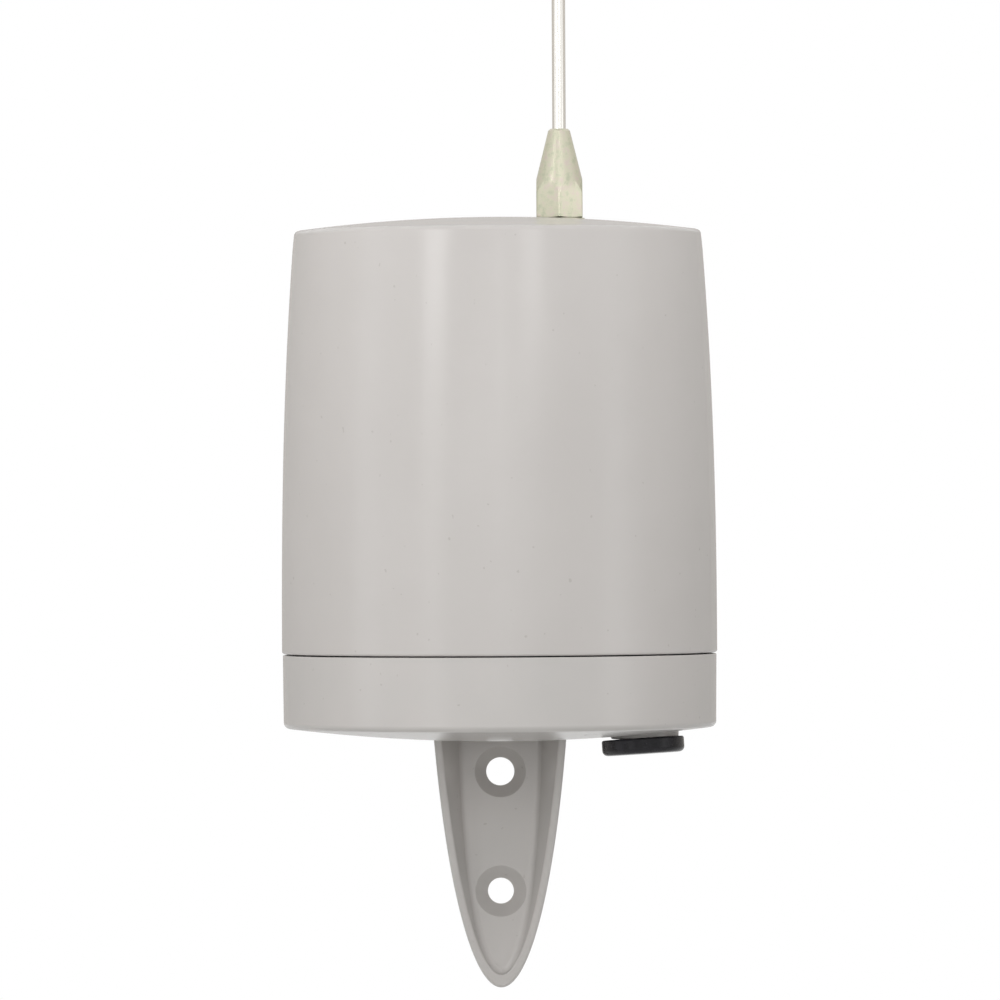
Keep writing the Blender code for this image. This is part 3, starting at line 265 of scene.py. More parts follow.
def moulded_asa(name, colour, cloud):
    """Matt ASA: an even grey with a faint cloudiness, fine spark-eroded grain and a soft low sheen."""
    grain = (0.55 * MM, 2.0, 0.6)       # the real grain is about 0.1 mm, too fine to show
    speck_size = 0.9 * MM               # dust specks, a few to a shell
    clouds = (22 * MM, 3.0, 0.5)
    material, tree, surface, place, even = clouded(name, (colour, cloud), (clouds, 0.35, 0.65),
                                                   (grain, 0.18, 0.24), (grain, 0.12, 0.03 * MM), IOR=1.5)
    dust = add_node(tree, "TexNoise", {"Scale": 1 / speck_size, "Detail": 0.0}, {"Vector": place})
    specks = add_node(tree, "MapRange", {"From Min": 0.83, "From Max": 0.87, "To Max": 0.22},
                      {"Value": dust.outputs["Fac"]})
    add_node(tree, "Mix", {7: linear("#7E766C")}, {0: specks.outputs[0], 6: even},
             {2: surface["Base Color"]}, data_type="RGBA")
    return material


def underside_height(radius):
    return UNDERSIDE_Z + UNDERSIDE_SAG * (radius / FOOT_RADIUS) ** 2


def around(angle, radius=COVER_SCREW_CIRCLE):
    """A place round the housing's axis, at an angle in degrees."""
    turn = math.radians(angle)
    return (AXIS[0] + radius * math.cos(turn), AXIS[1] + radius * math.sin(turn))


def tongue_depth(z):
    """How far the bracket's rim stands off the wall at a height."""
    return TIP_DEPTH + DEPTH_GROWTH * (z - TONGUE_TIP_Z)


def tongue_loop(form, tip_z, top_z, half_width, length, depth, draft=0.0, steps=44):
    """A closed loop along a half ellipse, from its tip up one side and down the other."""
    end = math.acos(1 - (top_z - tip_z) / length)
    right = []
    for i in range(1, steps + 1):
        angle = end * i / steps
        z = tip_z + length * (1 - math.cos(angle))
        x = half_width * math.sin(angle) - draft * (tongue_depth(z) - BACK_PLATE)
        right.append((x, -depth(z), z))
    left = [(-x, y, z) for x, y, z in reversed(right)]
    points = [form.verts.new(point) for point in [(0, -depth(tip_z), tip_z)] + right + left]
    edges = [form.edges.new(pair) for pair in zip(points, points[1:] + points[:1])]
    return edges, edges[steps]


def make_tongue():
    """The bracket: a back plate with drafted side walls, deep under the base and shallow at the tip."""
    form = bmesh.new()
    hidden = 1.4 * MM               # the loops end this far inside the cup's floor
    deep_top = underside_height(CUP_RADIUS) + hidden
    front_top = underside_height(23 * MM) + hidden
    tray_tip = TONGUE_TIP_Z + TIP_RIM
    outline = (TONGUE_HALF_WIDTH, TONGUE_LENGTH)
    tray = (TRAY_HALF_WIDTH, TRAY_LENGTH)
    loops = [tongue_loop(form, TONGUE_TIP_Z, deep_top, *outline, lambda z: 0.0),
             tongue_loop(form, TONGUE_TIP_Z, front_top, *outline, tongue_depth),
             tongue_loop(form, tray_tip, front_top - 0.3 * MM, *tray, tongue_depth),
             tongue_loop(form, tray_tip, deep_top, *tray, lambda z: BACK_PLATE, math.tan(TRAY_DRAFT))]
    for (lower, _), (upper, _) in zip(loops, loops[1:]):
        bmesh.ops.bridge_loops(form, edges=lower + upper)
    for edges, _ in (loops[0], loops[-1]):
        bmesh.ops.contextual_create(form, geom=edges)
    bmesh.ops.recalc_face_normals(form, faces=form.faces)
    roundings = {1: 0.5 * MM, 2: 0.35 * MM, 3: 1.0 * MM, 0: 0.25 * MM}      # loop 3 is the tray's foot
    for number, rounding in roundings.items():
        edges, top_edge = loops[number]
        rim = [edge for edge in edges if edge.is_valid and edge is not top_edge]
        bmesh.ops.bevel(form, geom=rim, offset=rounding, segments=4, profile=0.5, affect="EDGES",
                        material=-1, clamp_overlap=number < 3)
    return form


def countersink(hole_radius, z):
    """Cutter of a countersunk hole through the back plate, its axis square to the wall."""
    seat = BACK_PLATE - SINK_DEPTH
    soft = 0.04 * MM
    wide = SINK_RADIUS + 2 * soft
    profile = [(0, BACK_PLATE + REACH), (wide, BACK_PLATE + REACH), (wide, BACK_PLATE),
               (SINK_RADIUS, BACK_PLATE - soft), (SINK_RADIUS - SINK_TAPER, BACK_PLATE - SINK_WALL),
               (hole_radius + soft, seat), (hole_radius, seat - soft), (hole_radius, -REACH), (0, -REACH)]
    return placed(turned(profile, (0, 0), 96), (0, 0, z))


def make_pad():
    """The flat pad behind the cup, which carries the tongue's back up the wall."""
    form = bmesh.new()
    bottom = underside_height(CUP_RADIUS) + REACH
    bmesh.ops.create_grid(form, x_segments=24, y_segments=8, size=0.5)
    inside = BASE_RADIUS - REACH
    for vert in form.verts:
        z = bottom + (vert.co.y + 0.5) * (PAD_TOP_Z - bottom)
        share = math.sqrt(1 - (1 - (z - TONGUE_TIP_Z) / TONGUE_LENGTH) ** 2)
        x = 2 * vert.co.x * TONGUE_HALF_WIDTH * share
        vert.co = (x, AXIS[1] + math.sqrt(inside ** 2 - x ** 2), z)
    back = bmesh.ops.extrude_face_region(form, geom=form.faces[:])
    for vert in back["geom"]:
        if isinstance(vert, bmesh.types.BMVert):
            vert.co.y = 0
    bmesh.ops.recalc_face_normals(form, faces=form.faces)
    return form


def cup_form():
    """The cup by itself: underside, wall, shoulder, spigot and floor."""
    rim = FOOT_RADIUS - BASE_CORNER
    under = [(rim * i / 14, underside_height(rim * i / 14)) for i in range(14)]
    under += arc(rim, underside_height(rim) + BASE_CORNER, BASE_CORNER, -90, 0)
    shoulder = arc(BASE_RADIUS - SHOULDER_EDGE, SHOULDER_Z - SHOULDER_EDGE, SHOULDER_EDGE, 0, 90)
    lip_z = SPIGOT_TOP_Z - SPIGOT_LIP
    spigot = [(SPIGOT_RADIUS, SHOULDER_Z)] + arc(SPIGOT_RADIUS - SPIGOT_LIP, lip_z, SPIGOT_LIP, 0, 90)
    spigot += arc(SPIGOT_INSIDE + SPIGOT_LIP, lip_z, SPIGOT_LIP, 90, 180)
    inside = [(SPIGOT_INSIDE, SHOULDER_Z - 2.2 * MM), (CUP_RADIUS, SHOULDER_Z - 4.1 * MM)]
    floor = [(radius, underside_height(radius) + FLOOR_THICKNESS)
             for radius in [CUP_RADIUS * i / 10 for i in range(10, -1, -1)]]
    return turned(under + shoulder + spigot + inside + floor)


tools = [pin(ENTRY_BORE, COLLAR_Z - REACH, COLLAR_Z + 6 * MM, ENTRY, 96)]
tubes, caps, pillars = [], [], []
floor_z = underside_height(COVER_SCREW_CIRCLE) + REACH
neck_z = SCREW_SEAT_Z + SCREW_BOSS - RECESS_RADIUS
lining = RECESS_RADIUS + 0.01 * MM
for place in map(around, COVER_SCREW_ANGLES):
    tools.append(pin(RECESS_RADIUS, UNDERSIDE_Z - REACH, SCREW_SEAT_Z, place, 64))
    tubes.append(turned([(SCREW_WAY, SCREW_SEAT_Z), (lining, SCREW_SEAT_Z), (lining, floor_z),
                         (SCREW_BOSS, floor_z), (SCREW_BOSS, neck_z),
                         (SCREW_TUBE, neck_z + SCREW_BOSS - SCREW_TUBE), (SCREW_TUBE, SPIGOT_TOP_Z),
                         (SCREW_WAY, SPIGOT_TOP_Z), (SCREW_WAY, SCREW_SEAT_Z)], place, 48))
    wafer = pin(CAP_RADIUS, UNDERSIDE_Z - REACH, SCREW_CAP_Z, place, 64)
    caps.append(drilled(wafer, [cup_form()], "INTERSECT"))      # flush: the photograph shows no opening
for x in PILLARS:
    foot = (x - PILLAR_WIDTH / 2, PILLAR_FRONT, underside_height(abs(x)) + REACH)
    pillar = block(foot, (x + PILLAR_WIDTH / 2, PILLAR_FRONT + PILLAR_THICKNESS, PILLAR_TOP_Z), 0.4 * MM)
    pilot = placed(pin(PILOT_RADIUS, -5.5 * MM, REACH, steps=24), (x, PILLAR_FRONT, PILLAR_TOP_Z - 6 * MM))
    pillars.append(drilled(pillar, [pilot]))
cup = drilled(cup_form(), tools)
collar = arc(COLLAR_RADIUS - COLLAR_EDGE, COLLAR_Z + COLLAR_EDGE, COLLAR_EDGE, 0, -90)
top = COLLAR_Z + COLLAR_HEIGHT
collar += [(ENTRY_BORE, COLLAR_Z), (ENTRY_BORE, top), (COLLAR_RADIUS, top)]
collar = turned(collar + collar[:1], (ENTRY[0] + COLLAR_SHIFT, ENTRY[1]), 96)
tongue = drilled(make_tongue(), [countersink(radius, z) for z, radius in WALL_SCREWS.items()])
BASE_ASA = moulded_asa("base grey moulded ASA", "#C4C0BD", "#C0BDBA")
base = [cup, tongue, make_pad(), collar] + tubes + pillars
make_piece("base_moulding", base, BASE_ASA, "base", ["base_cup"])
make_piece("screw_recess_caps", caps, BASE_ASA, "base")

# ---- main board, its screws and its small parts ----
# An upright glass-epoxy board under a green solder mask, held to two pillars of the base by slotted
# pan head screws. The parts are soldered from the front, and the back shows their soldered ends.
board_low, board_high, _ = measured("main_board")
BOARD_FRONT = board_low[1]
BOARD_Z = board_low[2]
BOARD_SCREWS = dict(zip(("board_screw_left", "board_screw_right"), PILLARS))
BOARD_SCREW_Z = BOARD_Z + 15 * MM
POLE_PITCH = 5.08
HEADER_PITCH = 2.54
# Where the parts' ends are soldered: millimetres across and up the board.
SOLDERED = [(4 + POLE_PITCH * i, 8.3) for i in (-2, -1, 0, 1, 2)] + [(12, 16.2), (12, 21.2)]
SOLDERED += [(-26, 2.4), (-22.4, 2.4), (-18, 6.5), (-16, 6.5), (-8, 29.3), (-4, 29.3), (-22, 31.8)]
SOLDERED += [(x, 20.7) for x in (-19.4, -16.6, -4.4, -1.6)]
SOLDERED += [(-17, 26.8), (-26.8, 26.4), (-24.4, 26.4), (26.9, 16.2)]
SOLDERED += [(x, z) for x in (-24.5, -19, -13.5, -8, -2.5) for z in (38, 62.5)]
SOLDERED += [(x, z) for x in (5.5, 11.5, 19, 25) for z in (26.5, 41.5)]
SOLDERED += [(6.9 + HEADER_PITCH * i, 49.5) for i in range(7)]


def facing(form, x, z, front=BOARD_FRONT):
    """Lays a form that stands round the upright axis on its back, so that its foot is on the board."""
    return placed(form, (x, front, z))


def slotted_screw(shank, length, head, height, slot, pitch=0.9 * MM):
    """A slotted pan head screw with its seat at height 0, its head above and its thread below."""
    angles = map(math.radians, range(15, 91, 15))
    crown = [(head * math.sin(a), height * (0.45 + 0.55 * math.cos(a))) for a in angles]
    profile = [(0, height)] + crown + [(head, 0.1 * MM), (head - 0.1 * MM, 0), (shank, 0)]
    for i in range(int(length / pitch) - 1):
        profile += [(shank - 0.25 * MM, -pitch * (i + 0.6)), (shank, -pitch * (i + 1))]
    profile += [(0.3 * shank, -length), (0, -length)]
    reach = head + 0.5 * MM
    driver_slot = block((-reach, -slot / 2, 0.45 * height), (reach, slot / 2, height + reach))
    return drilled(turned(profile, (0, 0), 40), [driver_slot])


def clouded_metal(name, colour, second):
    """A bright plated or turned metal, clouded in soft patches, with a satin gloss."""
    grain = (1.6 * MM, 4.0, 0.6)
    return clouded(name, (colour, second), (grain, 0.35, 0.65), (grain, 0.24, 0.38), (grain, 0.15, 0.02 * MM),
                   Metallic=1.0)[0]


def solder_mask(name, bare, tracks):
    """Green solder mask: glossy, darker over bare laminate and lighter over the raised copper tracks."""
    material, tree, surface, place = new_material(name, IOR=1.5)
    courses = {"Scale": 1.0, "Mortar Size": 0.32, "Mortar Smooth": 0.05, "Bias": 0.0,
               "Brick Width": 8.6, "Row Height": HEADER_PITCH}      # in millimetres
    flat = add_node(tree, "Mapping", {"Rotation": (math.radians(90), 0, 0), "Scale": (1 / MM,) * 3},
                    {"Vector": place}, vector_type="POINT").outputs[0]
    lines = add_node(tree, "TexBrick", courses, {"Vector": flat}, offset=0.37, offset_frequency=2,
                     squash=0.6, squash_frequency=3)
    planes = add_node(tree, "TexVoronoi", {"Scale": 1 / 9.0}, {"Vector": flat}, distance="CHEBYCHEV")
    plane = add_node(tree, "Math", {1: 0.42}, {0: planes.outputs["Distance"]}, operation="LESS_THAN")
    copper = add_node(tree, "Math", links={0: lines.outputs["Fac"], 1: plane.outputs[0]},
                      operation="MAXIMUM").outputs[0]
    add_node(tree, "Mix", {6: linear(bare), 7: linear(tracks)}, {0: copper},
             {2: surface["Base Color"]}, data_type="RGBA")
    add_node(tree, "MapRange", {"To Min": 0.32, "To Max": 0.22}, {"Value": copper},
             {0: surface["Roughness"]})
    add_node(tree, "Bump", {"Strength": 0.5, "Distance": 0.035 * MM}, {"Height": copper},
             {"Normal": surface["Normal"]})
    return material


BRIGHT_ZINC = clouded_metal("bright zinc plated steel", "#C9CBCC", "#B4B7BA")     # bluish white
TIN = clouded_metal("tinned steel", "#D2D0CA", "#B3B0AA")       # a little yellow, mottled as frozen solder is
SOLDER_MASK = solder_mask("green solder mask on glass epoxy", "#0D4023", "#1A6A38")
screw_holes = [facing(pin(PILOT_RADIUS, -3 * MM, REACH), x, BOARD_SCREW_Z) for x in PILLARS]
board = drilled(block(board_low, board_high, 0.12 * MM, 2), screw_holes)
make_piece("circuit_board", [board], SOLDER_MASK, "base", ["main_board"])
for node, x in BOARD_SCREWS.items():
    screw = slotted_screw(1.45 * MM, 7 * MM, 2.7 * MM, 1.8 * MM, 0.7 * MM)
    screw = facing(screw, x, BOARD_SCREW_Z, BOARD_FRONT - 0.05 * MM)
    make_piece(node + "_slotted", [screw], BRIGHT_ZINC, "base", [node])
ends = []
for x, z in SOLDERED:
    if abs(abs(x) - 22) < 4.6 and z < 22.2:
        continue                # the pillars stand behind these
    cone = bmesh.new()
    bmesh.ops.create_cone(cone, cap_ends=True, segments=12, radius1=1 * MM, radius2=0.35 * MM, depth=0.9 * MM)
    ends.append(placed(cone, (x * MM, board_high[1] + 0.43 * MM, BOARD_Z + z * MM), -90))
make_piece("soldered_ends", ends, TIN, "base")

# Three lacquered resistors with colour rings stand near the board's left and right edges.
RESISTORS = (-26.8 * MM, -24.4 * MM, 26.9 * MM)
RESISTOR_Z = BOARD_Z + 21.3 * MM
RESISTOR_HALF = 2.9 * MM
RESISTOR_THICK = 1.05 * MM
RESISTOR_WAIST = 0.88 * MM
LEAD_RADIUS = 0.26 * MM
LEAD_REACH = 5.0 * MM
LACQUER = "#CDB48A"
RINGS = {(0.14, 0.24): "#6B3A1E", (0.34, 0.44): "#1B1B1B", (0.54, 0.64): "#B5301F", (0.76, 0.9): "#B08A3A"}
bodies, leads = [], []
bend = 0.4 * MM
side = [(0, RESISTOR_HALF)] + arc(RESISTOR_THICK - bend, RESISTOR_HALF - bend, bend, 90, 0)
side += [(RESISTOR_THICK, RESISTOR_HALF - 1.1 * MM), (RESISTOR_WAIST, RESISTOR_HALF - 1.5 * MM)]
side += [(radius, -z) for radius, z in side[::-1]]
for x in RESISTORS:
    middle = (x, BOARD_FRONT - 1.5 * MM)
    bodies.append(turned([(radius, RESISTOR_Z + z) for radius, z in side], middle, 32))
    for end in (-1, 1):
        foot = RESISTOR_Z + end * RESISTOR_HALF
        tip = RESISTOR_Z + end * LEAD_REACH
        leads.append(pin(LEAD_RADIUS, foot, tip, middle, 12))
        leads.append(facing(pin(LEAD_RADIUS, -0.3 * MM, 1.75 * MM, steps=12), x, tip))
material, tree, surface, place = new_material("lacquered resistors with colour rings", Roughness=0.35)
height = add_node(tree, "SeparateXYZ", links={0: place}).outputs["Z"]
share = add_node(tree, "MapRange", {"From Min": RESISTOR_Z - RESISTOR_HALF,
                                              "From Max": RESISTOR_Z + RESISTOR_HALF}, {"Value": height})
ramp = add_node(tree, "ValToRGB", links={"Fac": share.outputs[0]},
                feeds={"Color": surface["Base Color"]}).color_ramp
ramp.interpolation = "CONSTANT"
ramp.elements.remove(ramp.elements[1])
ramp.elements[0].color = linear(LACQUER)
for (start, end), colour in RINGS.items():
    ramp.elements.new(start).color = linear(colour)
    ramp.elements.new(end).color = linear(LACQUER)
make_piece("resistors", bodies, material, "base")
make_piece("resistor_leads", leads, TIN, "base")

# ---- terminal block and its screws ----
# Five screw terminals in one green polyamide moulding: the wires go in from below, and the screws lie
# in wells on the front. A groove runs between each two poles.
block_low, block_high, block_middle = measured("terminal_block")
POLES = [block_middle[0] + (i - 2) * POLE_PITCH * MM for i in range(5)]
screw_low, screw_high, _ = measured("terminal_screw_1")
TERMINAL_SCREW_Z = screw_low[2] + 1.6 * MM
SCREW_FOOT = screw_high[1] - 0.2 * MM
WIRE_WAY = 1.7 * MM             # half the width of a wire's entry
WIRE_WAY_DEPTH = 6 * MM
WIRE_FRONT, WIRE_BACK = BOARD_FRONT - 6.9 * MM, BOARD_FRONT - 3.5 * MM
GROOVE = 0.2 * MM               # half the width of a groove
groove_front, groove_back = block_low[1] - REACH, block_low[1] + 0.6 * MM


def moulded_polyamide(name, colour, second, low=0.34, high=0.48):
    """Moulded engineering plastic: one even colour with a faint flow cloud and a fine satin grain."""
    grain = (0.3 * MM, 2.0, 0.5)
    return clouded(name, (colour, second), ((4 * MM, 3.0, 0.5), 0.0, 1.0), (grain, low, high),
                   (grain, 0.2, 0.02 * MM), IOR=1.53)[0]


cuts = []
tall = block_high[2] - block_low[2]
for number, x in enumerate(POLES):
    cuts.append(facing(pin(1.8 * MM, 7.2 * MM, 12 * MM), x, TERMINAL_SCREW_Z))
    cuts.append(bar(x, block_low[2], WIRE_WAY, WIRE_WAY_DEPTH, WIRE_FRONT, WIRE_BACK))
    if number:
        edge = x - POLE_PITCH / 2 * MM
        cuts.append(bar(edge, block_middle[2], GROOVE, tall, groove_front, groove_back))
terminals = drilled(block(block_low, block_high, 0.35 * MM), cuts)
GREEN_POLYAMIDE = moulded_polyamide("green moulded polyamide", "#1C6B3A", "#216F3F")
make_piece("terminals", [terminals], GREEN_POLYAMIDE, "base", ["terminal_block"])
for number, x in enumerate(POLES, 1):
    node = f"terminal_screw_{number}"
    screw = slotted_screw(1.2 * MM, 1 * MM, 1.6 * MM, SCREW_FOOT - screw_low[1], 0.55 * MM)
    screw = facing(screw, x, TERMINAL_SCREW_Z, SCREW_FOOT)
    make_piece(node + "_slotted", [screw], BRIGHT_ZINC, "base", [node])

# ---- fuse in its clips ----
# A glass tube fuse, 5 mm by 20 mm, with a fine wire inside and tinned caps that sit in spring clips.
glass_low, glass_high, glass_middle = measured("fuse_glass")
GLASS_WALL = 0.55 * MM
CAP_EDGE = 0.3 * MM


def lying(form):
    """Lays an upright form along the board, at the fuse's axis."""
    return placed(form, (0, *glass_middle[1:]), 90, "Y")


def smooth_copy(node, name, material, body, soft=0.0, sharp=35):
    """A CAD piece's own shape with its triangles merged, its edges softened and its faces shaded."""
    form = bmesh.new()
    form.from_mesh(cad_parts[node].data)
    bmesh.ops.remove_doubles(form, verts=form.verts, dist=0.005 * MM)
    bmesh.ops.dissolve_limit(form, angle_limit=math.radians(1), verts=form.verts, edges=form.edges)
    piece = make_piece(name, [form], material, body, [node], sharp)
    if soft:
        edge = piece.modifiers.new("softened edges", "BEVEL")
        edge.width, edge.segments, edge.limit_method, edge.angle_limit = soft, 2, "ANGLE", math.radians(40)
        piece.modifiers.move(1, 0)
    return piece


outer = (glass_high[2] - glass_low[2]) / 2
inner = outer - GLASS_WALL
tube = [(outer, glass_low[0]), (outer, glass_high[0]), (inner, glass_high[0]), (inner, glass_low[0])]
haze = (2 * MM, 2.0, 0.5)
CLEAR_GLASS = clouded("clear glass tube", ("#F2F7F6", "#F2F7F6"), (haze, 0.0, 1.0), (haze, 0.02, 0.07),
                      IOR=1.5, Transmission_Weight=0.94)[0]
make_piece("fuse_tube", [lying(turned(tube + tube[:1], (0, 0), 40))], CLEAR_GLASS, "base",
           ["fuse_glass"])
wire = lying(pin(0.09 * MM, glass_low[0], glass_high[0], steps=10))
make_piece("fuse_wire", [wire], TIN, "base")
for side in ("left", "right"):
    low, high, _ = measured("fuse_cap_" + side)
    radius = (high[2] - low[2]) / 2
    edge = radius - CAP_EDGE
    cap = [(0, low[0]), (edge, low[0]), (radius, low[0] + CAP_EDGE), (radius, high[0] - CAP_EDGE),
           (edge, high[0]), (0, high[0])]
    make_piece(f"fuse_cap_{side}_turned", [lying(turned(cap, (0, 0), 40))], TIN, "base",
               ["fuse_cap_" + side])
    smooth_copy("fuse_clip_" + side, f"fuse_clip_{side}_bent", TIN, "base", 0.08 * MM, 25)

# ---- varistor, transformer, relays, capacitor and rectifier ----
# The power parts: a blue dipped varistor, a potted mains transformer, two sealed relays for up and
# down, a sleeved capacitor with a scored top, and a round black rectifier with one flat side.
BLACK_POLYESTER = moulded_polyamide("black moulded polyester", "#17181A", "#1F2022", 0.3, 0.42)
BLUE_EPOXY = moulded_polyamide("blue epoxy resin", "#1F3F86", "#264A93", 0.16, 0.28)
LEAD_GAP = 0.2 * MM             # between a can's foot and the board


def dished_box(node, soft, inset, depth):
    """A moulded case from a CAD box: rounded edges, and a shallow dish in its front face."""
    low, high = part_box(node)
    dish = block((low[0] + inset, low[1] - REACH, low[2] + inset),
                 (high[0] - inset, low[1] + depth, high[2] - inset), 0.25 * MM, 2)
    return drilled(block(low, high, soft), [dish])


def rivet(radius, top, steps):
    """A low round boss with its edge cut off."""
    side = [(0, 0), (radius, 0), (radius, top - 0.15 * MM), (radius - 0.2 * MM, top), (0, top)]
    return turned(side, (0, 0), steps)


low, high, middle = measured("varistor")
radius, half = (high[2] - low[2]) / 2, (high[0] - low[0]) / 2
disc = turned([(0, half)] + arc(radius - half, 0, half, 90, -90, 12) + [(0, -half)], (0, 0), 64)
make_piece("varistor_disc", [placed(disc, middle, 90, "Y")], BLUE_EPOXY, "base", ["varistor"])
transformer = dished_box("transformer", 1.0 * MM, 1.4 * MM, 0.7 * MM)
make_piece("transformer_case", [transformer], BLUE_EPOXY, "base", ["transformer"])
for node in ("relay_up", "relay_down"):
    case = dished_box(node, 0.5 * MM, 0.9 * MM, 0.2 * MM)
    low, high, _ = measured(node)
    vent = facing(rivet(0.7 * MM, 0.5 * MM, 24), high[0] - 2.6 * MM, high[2] - 2.6 * MM,
                  low[1] + 0.45 * MM)
    make_piece(node + "_case", [case, vent], BLACK_POLYESTER, "base", [node])

low, high, middle = measured("capacitor")
radius, tall = (high[0] - low[0]) / 2, BOARD_FRONT - low[1]
bend = 0.5 * MM
sleeve = [(0, LEAD_GAP)] + arc(radius - bend, LEAD_GAP + bend, bend, -90, 0, 4)
sleeve += [(radius, 1.5 * MM), (radius - 0.35 * MM, 1.9 * MM), (radius, 2.3 * MM)]
sleeve += arc(radius - bend, tall - bend, bend, 0, 90, 4)
sleeve += [(radius - 0.8 * MM, tall), (radius - 0.9 * MM, tall - 0.2 * MM), (0, tall - 0.2 * MM)]
score, reach = 0.12 * MM, 2.4 * MM
scores = [block((-x, -y, tall - 0.4 * MM), (x, y, tall + REACH)) for x, y in ((score, reach), (reach, score))]
can = facing(drilled(turned(sleeve, (0, 0), 64), scores), middle[0], middle[2])
BLUE_SLEEVE = moulded_polyamide("shrunk dark blue sleeve", "#141C38", "#192344", 0.2, 0.3)
make_piece("capacitor_can", [can], BLUE_SLEEVE, "base", ["capacitor"])

low, high, middle = measured("rectifier")
radius, tall = (high[0] - low[0]) / 2, BOARD_FRONT - low[1]
bend = 0.3 * MM
puck = [(0, LEAD_GAP), (radius, LEAD_GAP)] + arc(radius - bend, tall - bend, bend, 0, 90, 4) + [(0, tall)]
wide = radius + REACH
flat_side = block((-wide, radius - 0.6 * MM, -REACH), (wide, wide, tall + REACH))
puck = facing(drilled(turned(puck, (0, 0), 64), [flat_side]), middle[0], middle[2])
make_piece("rectifier_puck", [puck], BLACK_POLYESTER, "base", ["rectifier"])

# A driver chip for the relays lies in the board's lower left corner.
chip_low = (-27.5 * MM, BOARD_FRONT - 2.1 * MM, BOARD_Z + 3.2 * MM)
chip_high = (-21.1 * MM, BOARD_FRONT - 0.3 * MM, BOARD_Z + 9.0 * MM)
legs = [bar(x, z, 0.25 * MM, 0.6 * MM, BOARD_FRONT - 1.2 * MM, BOARD_FRONT + 0.1 * MM, 0.06 * MM)
        for x in [(-26.6 + 1.524 * i) * MM for i in range(4)]
        for z in (chip_low[2] - 0.4 * MM, chip_high[2] + 0.4 * MM)]
make_piece("driver_chip", [block(chip_low, chip_high, 0.2 * MM)], BLACK_POLYESTER, "base")
make_piece("driver_chip_legs", legs, TIN, "base")

# ---- radio board, its can, crystal and aerial contact ----
# The receiver is a small board of its own, which stands off the main board on a pin header. It carries
# a tinned shield can, a quartz crystal, a chip and the spring leaf that meets the aerial's stud.
low, high, _ = measured("radio_board")
RADIO_FRONT = low[1]
PIN_HALF = 0.32 * MM
NOTCH_HALF = 0.3 * MM
NOTCH_DEPTH = 0.4 * MM
board = block(low, high, 0.1 * MM, 2)
make_piece("radio_circuit", [board], SOLDER_MASK, "base", ["radio_board"])
low, high, middle = measured("pin_header")
pins = [bar(x, middle[2], PIN_HALF, PIN_HALF, RADIO_FRONT - 1.1 * MM, high[1] + 0.3 * MM, 0.1 * MM)
        for x in [low[0] + (1.38 + HEADER_PITCH * i) * MM for i in range(7)]]
notches = [bar(x, low[2], NOTCH_HALF, NOTCH_DEPTH, low[1] - REACH, high[1] + REACH)
           for x in [low[0] + (0.11 + HEADER_PITCH * i) * MM for i in range(1, 7)]]
strip = drilled(block(low, high, 0.12 * MM, 2), notches)
make_piece("header_strip", [strip], BLACK_POLYESTER, "base", ["pin_header"])
make_piece("header_pins", pins, TIN, "base")

low, high, _ = measured("radio_can")
holes = [facing(pin(0.45 * MM, -0.6 * MM, REACH, steps=20), low[0] + (2.5 + 2.0 * i) * MM,
                low[2] + (2.5 + 2.0 * j) * MM, low[1])
         for i in range(5) for j in range(5) if (i, j) not in ((0, 0), (4, 4))]
can = drilled(block(low, high, 0.3 * MM), holes)
make_piece("shield_can", [can], TIN, "base", ["radio_can"])
low, high, _ = measured("crystal")
FLANGE_WIDTH = 0.3 * MM
can = block((low[0] + FLANGE_WIDTH, low[1], low[2] + FLANGE_WIDTH),
            (high[0] - FLANGE_WIDTH, high[1] - 0.4 * MM, high[2] - FLANGE_WIDTH), 0.9 * MM, 5)
flange = block((low[0], high[1] - 0.5 * MM, low[2]), high, 0.2 * MM)
make_piece("crystal_can", [can, flange], TIN, "base", ["crystal"])
chip_low = (8.4 * MM, RADIO_FRONT - 1.6 * MM, BOARD_Z + 50.6 * MM)
chip_high = (12.1 * MM, RADIO_FRONT - 0.2 * MM, BOARD_Z + 55.4 * MM)
legs = [bar(x, z, 0.5 * MM, 0.2 * MM, RADIO_FRONT - 0.9 * MM, RADIO_FRONT + 0.05 * MM, 0.05 * MM)
        for x in (chip_low[0] - 0.35 * MM, chip_high[0] + 0.35 * MM)
        for z in [chip_low[2] + (0.5 + 1.27 * i) * MM for i in range(4)]]
make_piece("radio_chip", [block(chip_low, chip_high, 0.15 * MM)], BLACK_POLYESTER, "base")
make_piece("radio_chip_legs", legs, TIN, "base")
BRASS = clouded_metal("plain turned brass", "#D0B878", "#B79A5C")       # warm, with a little tarnish
smooth_copy("aerial_contact", "aerial_leaf", BRASS, "base", 0.05 * MM, 30)

# ---- learn switch and status light ----
# A small tactile switch with a red button, which teaches in the transmitter, and a red light.
RIVET_PLACE = 2.4 * MM
RED_ABS = moulded_polyamide("red moulded ABS", "#B3241B", "#A71F18", 0.22, 0.34)
low, high, middle = measured("learn_switch")
switch = (middle[0], middle[2])
well = facing(pin(1.9 * MM, 1.4 * MM, 6 * MM, steps=48), *switch)
rivets = [facing(rivet(0.5 * MM, 0.35 * MM, 20), switch[0] + a * RIVET_PLACE, switch[1] + b * RIVET_PLACE,
                 low[1] + 0.05 * MM) for a in (-1, 1) for b in (-1, 1)]
case = drilled(block(low, high, 0.3 * MM), [well])
make_piece("switch_case", [case] + rivets, BLACK_POLYESTER, "base", ["learn_switch"])
low, high, _ = measured("learn_button")
radius, long, bend = (high[0] - low[0]) / 2, high[1] - low[1], 0.25 * MM
knob = [(0, 0), (radius, 0)] + arc(radius - bend, long - bend, bend, 0, 90, 4) + [(0, long)]
knob = facing(turned(knob, (0, 0), 64), *switch, high[1])
make_piece("switch_button", [knob], RED_ABS, "button", ["learn_button"])
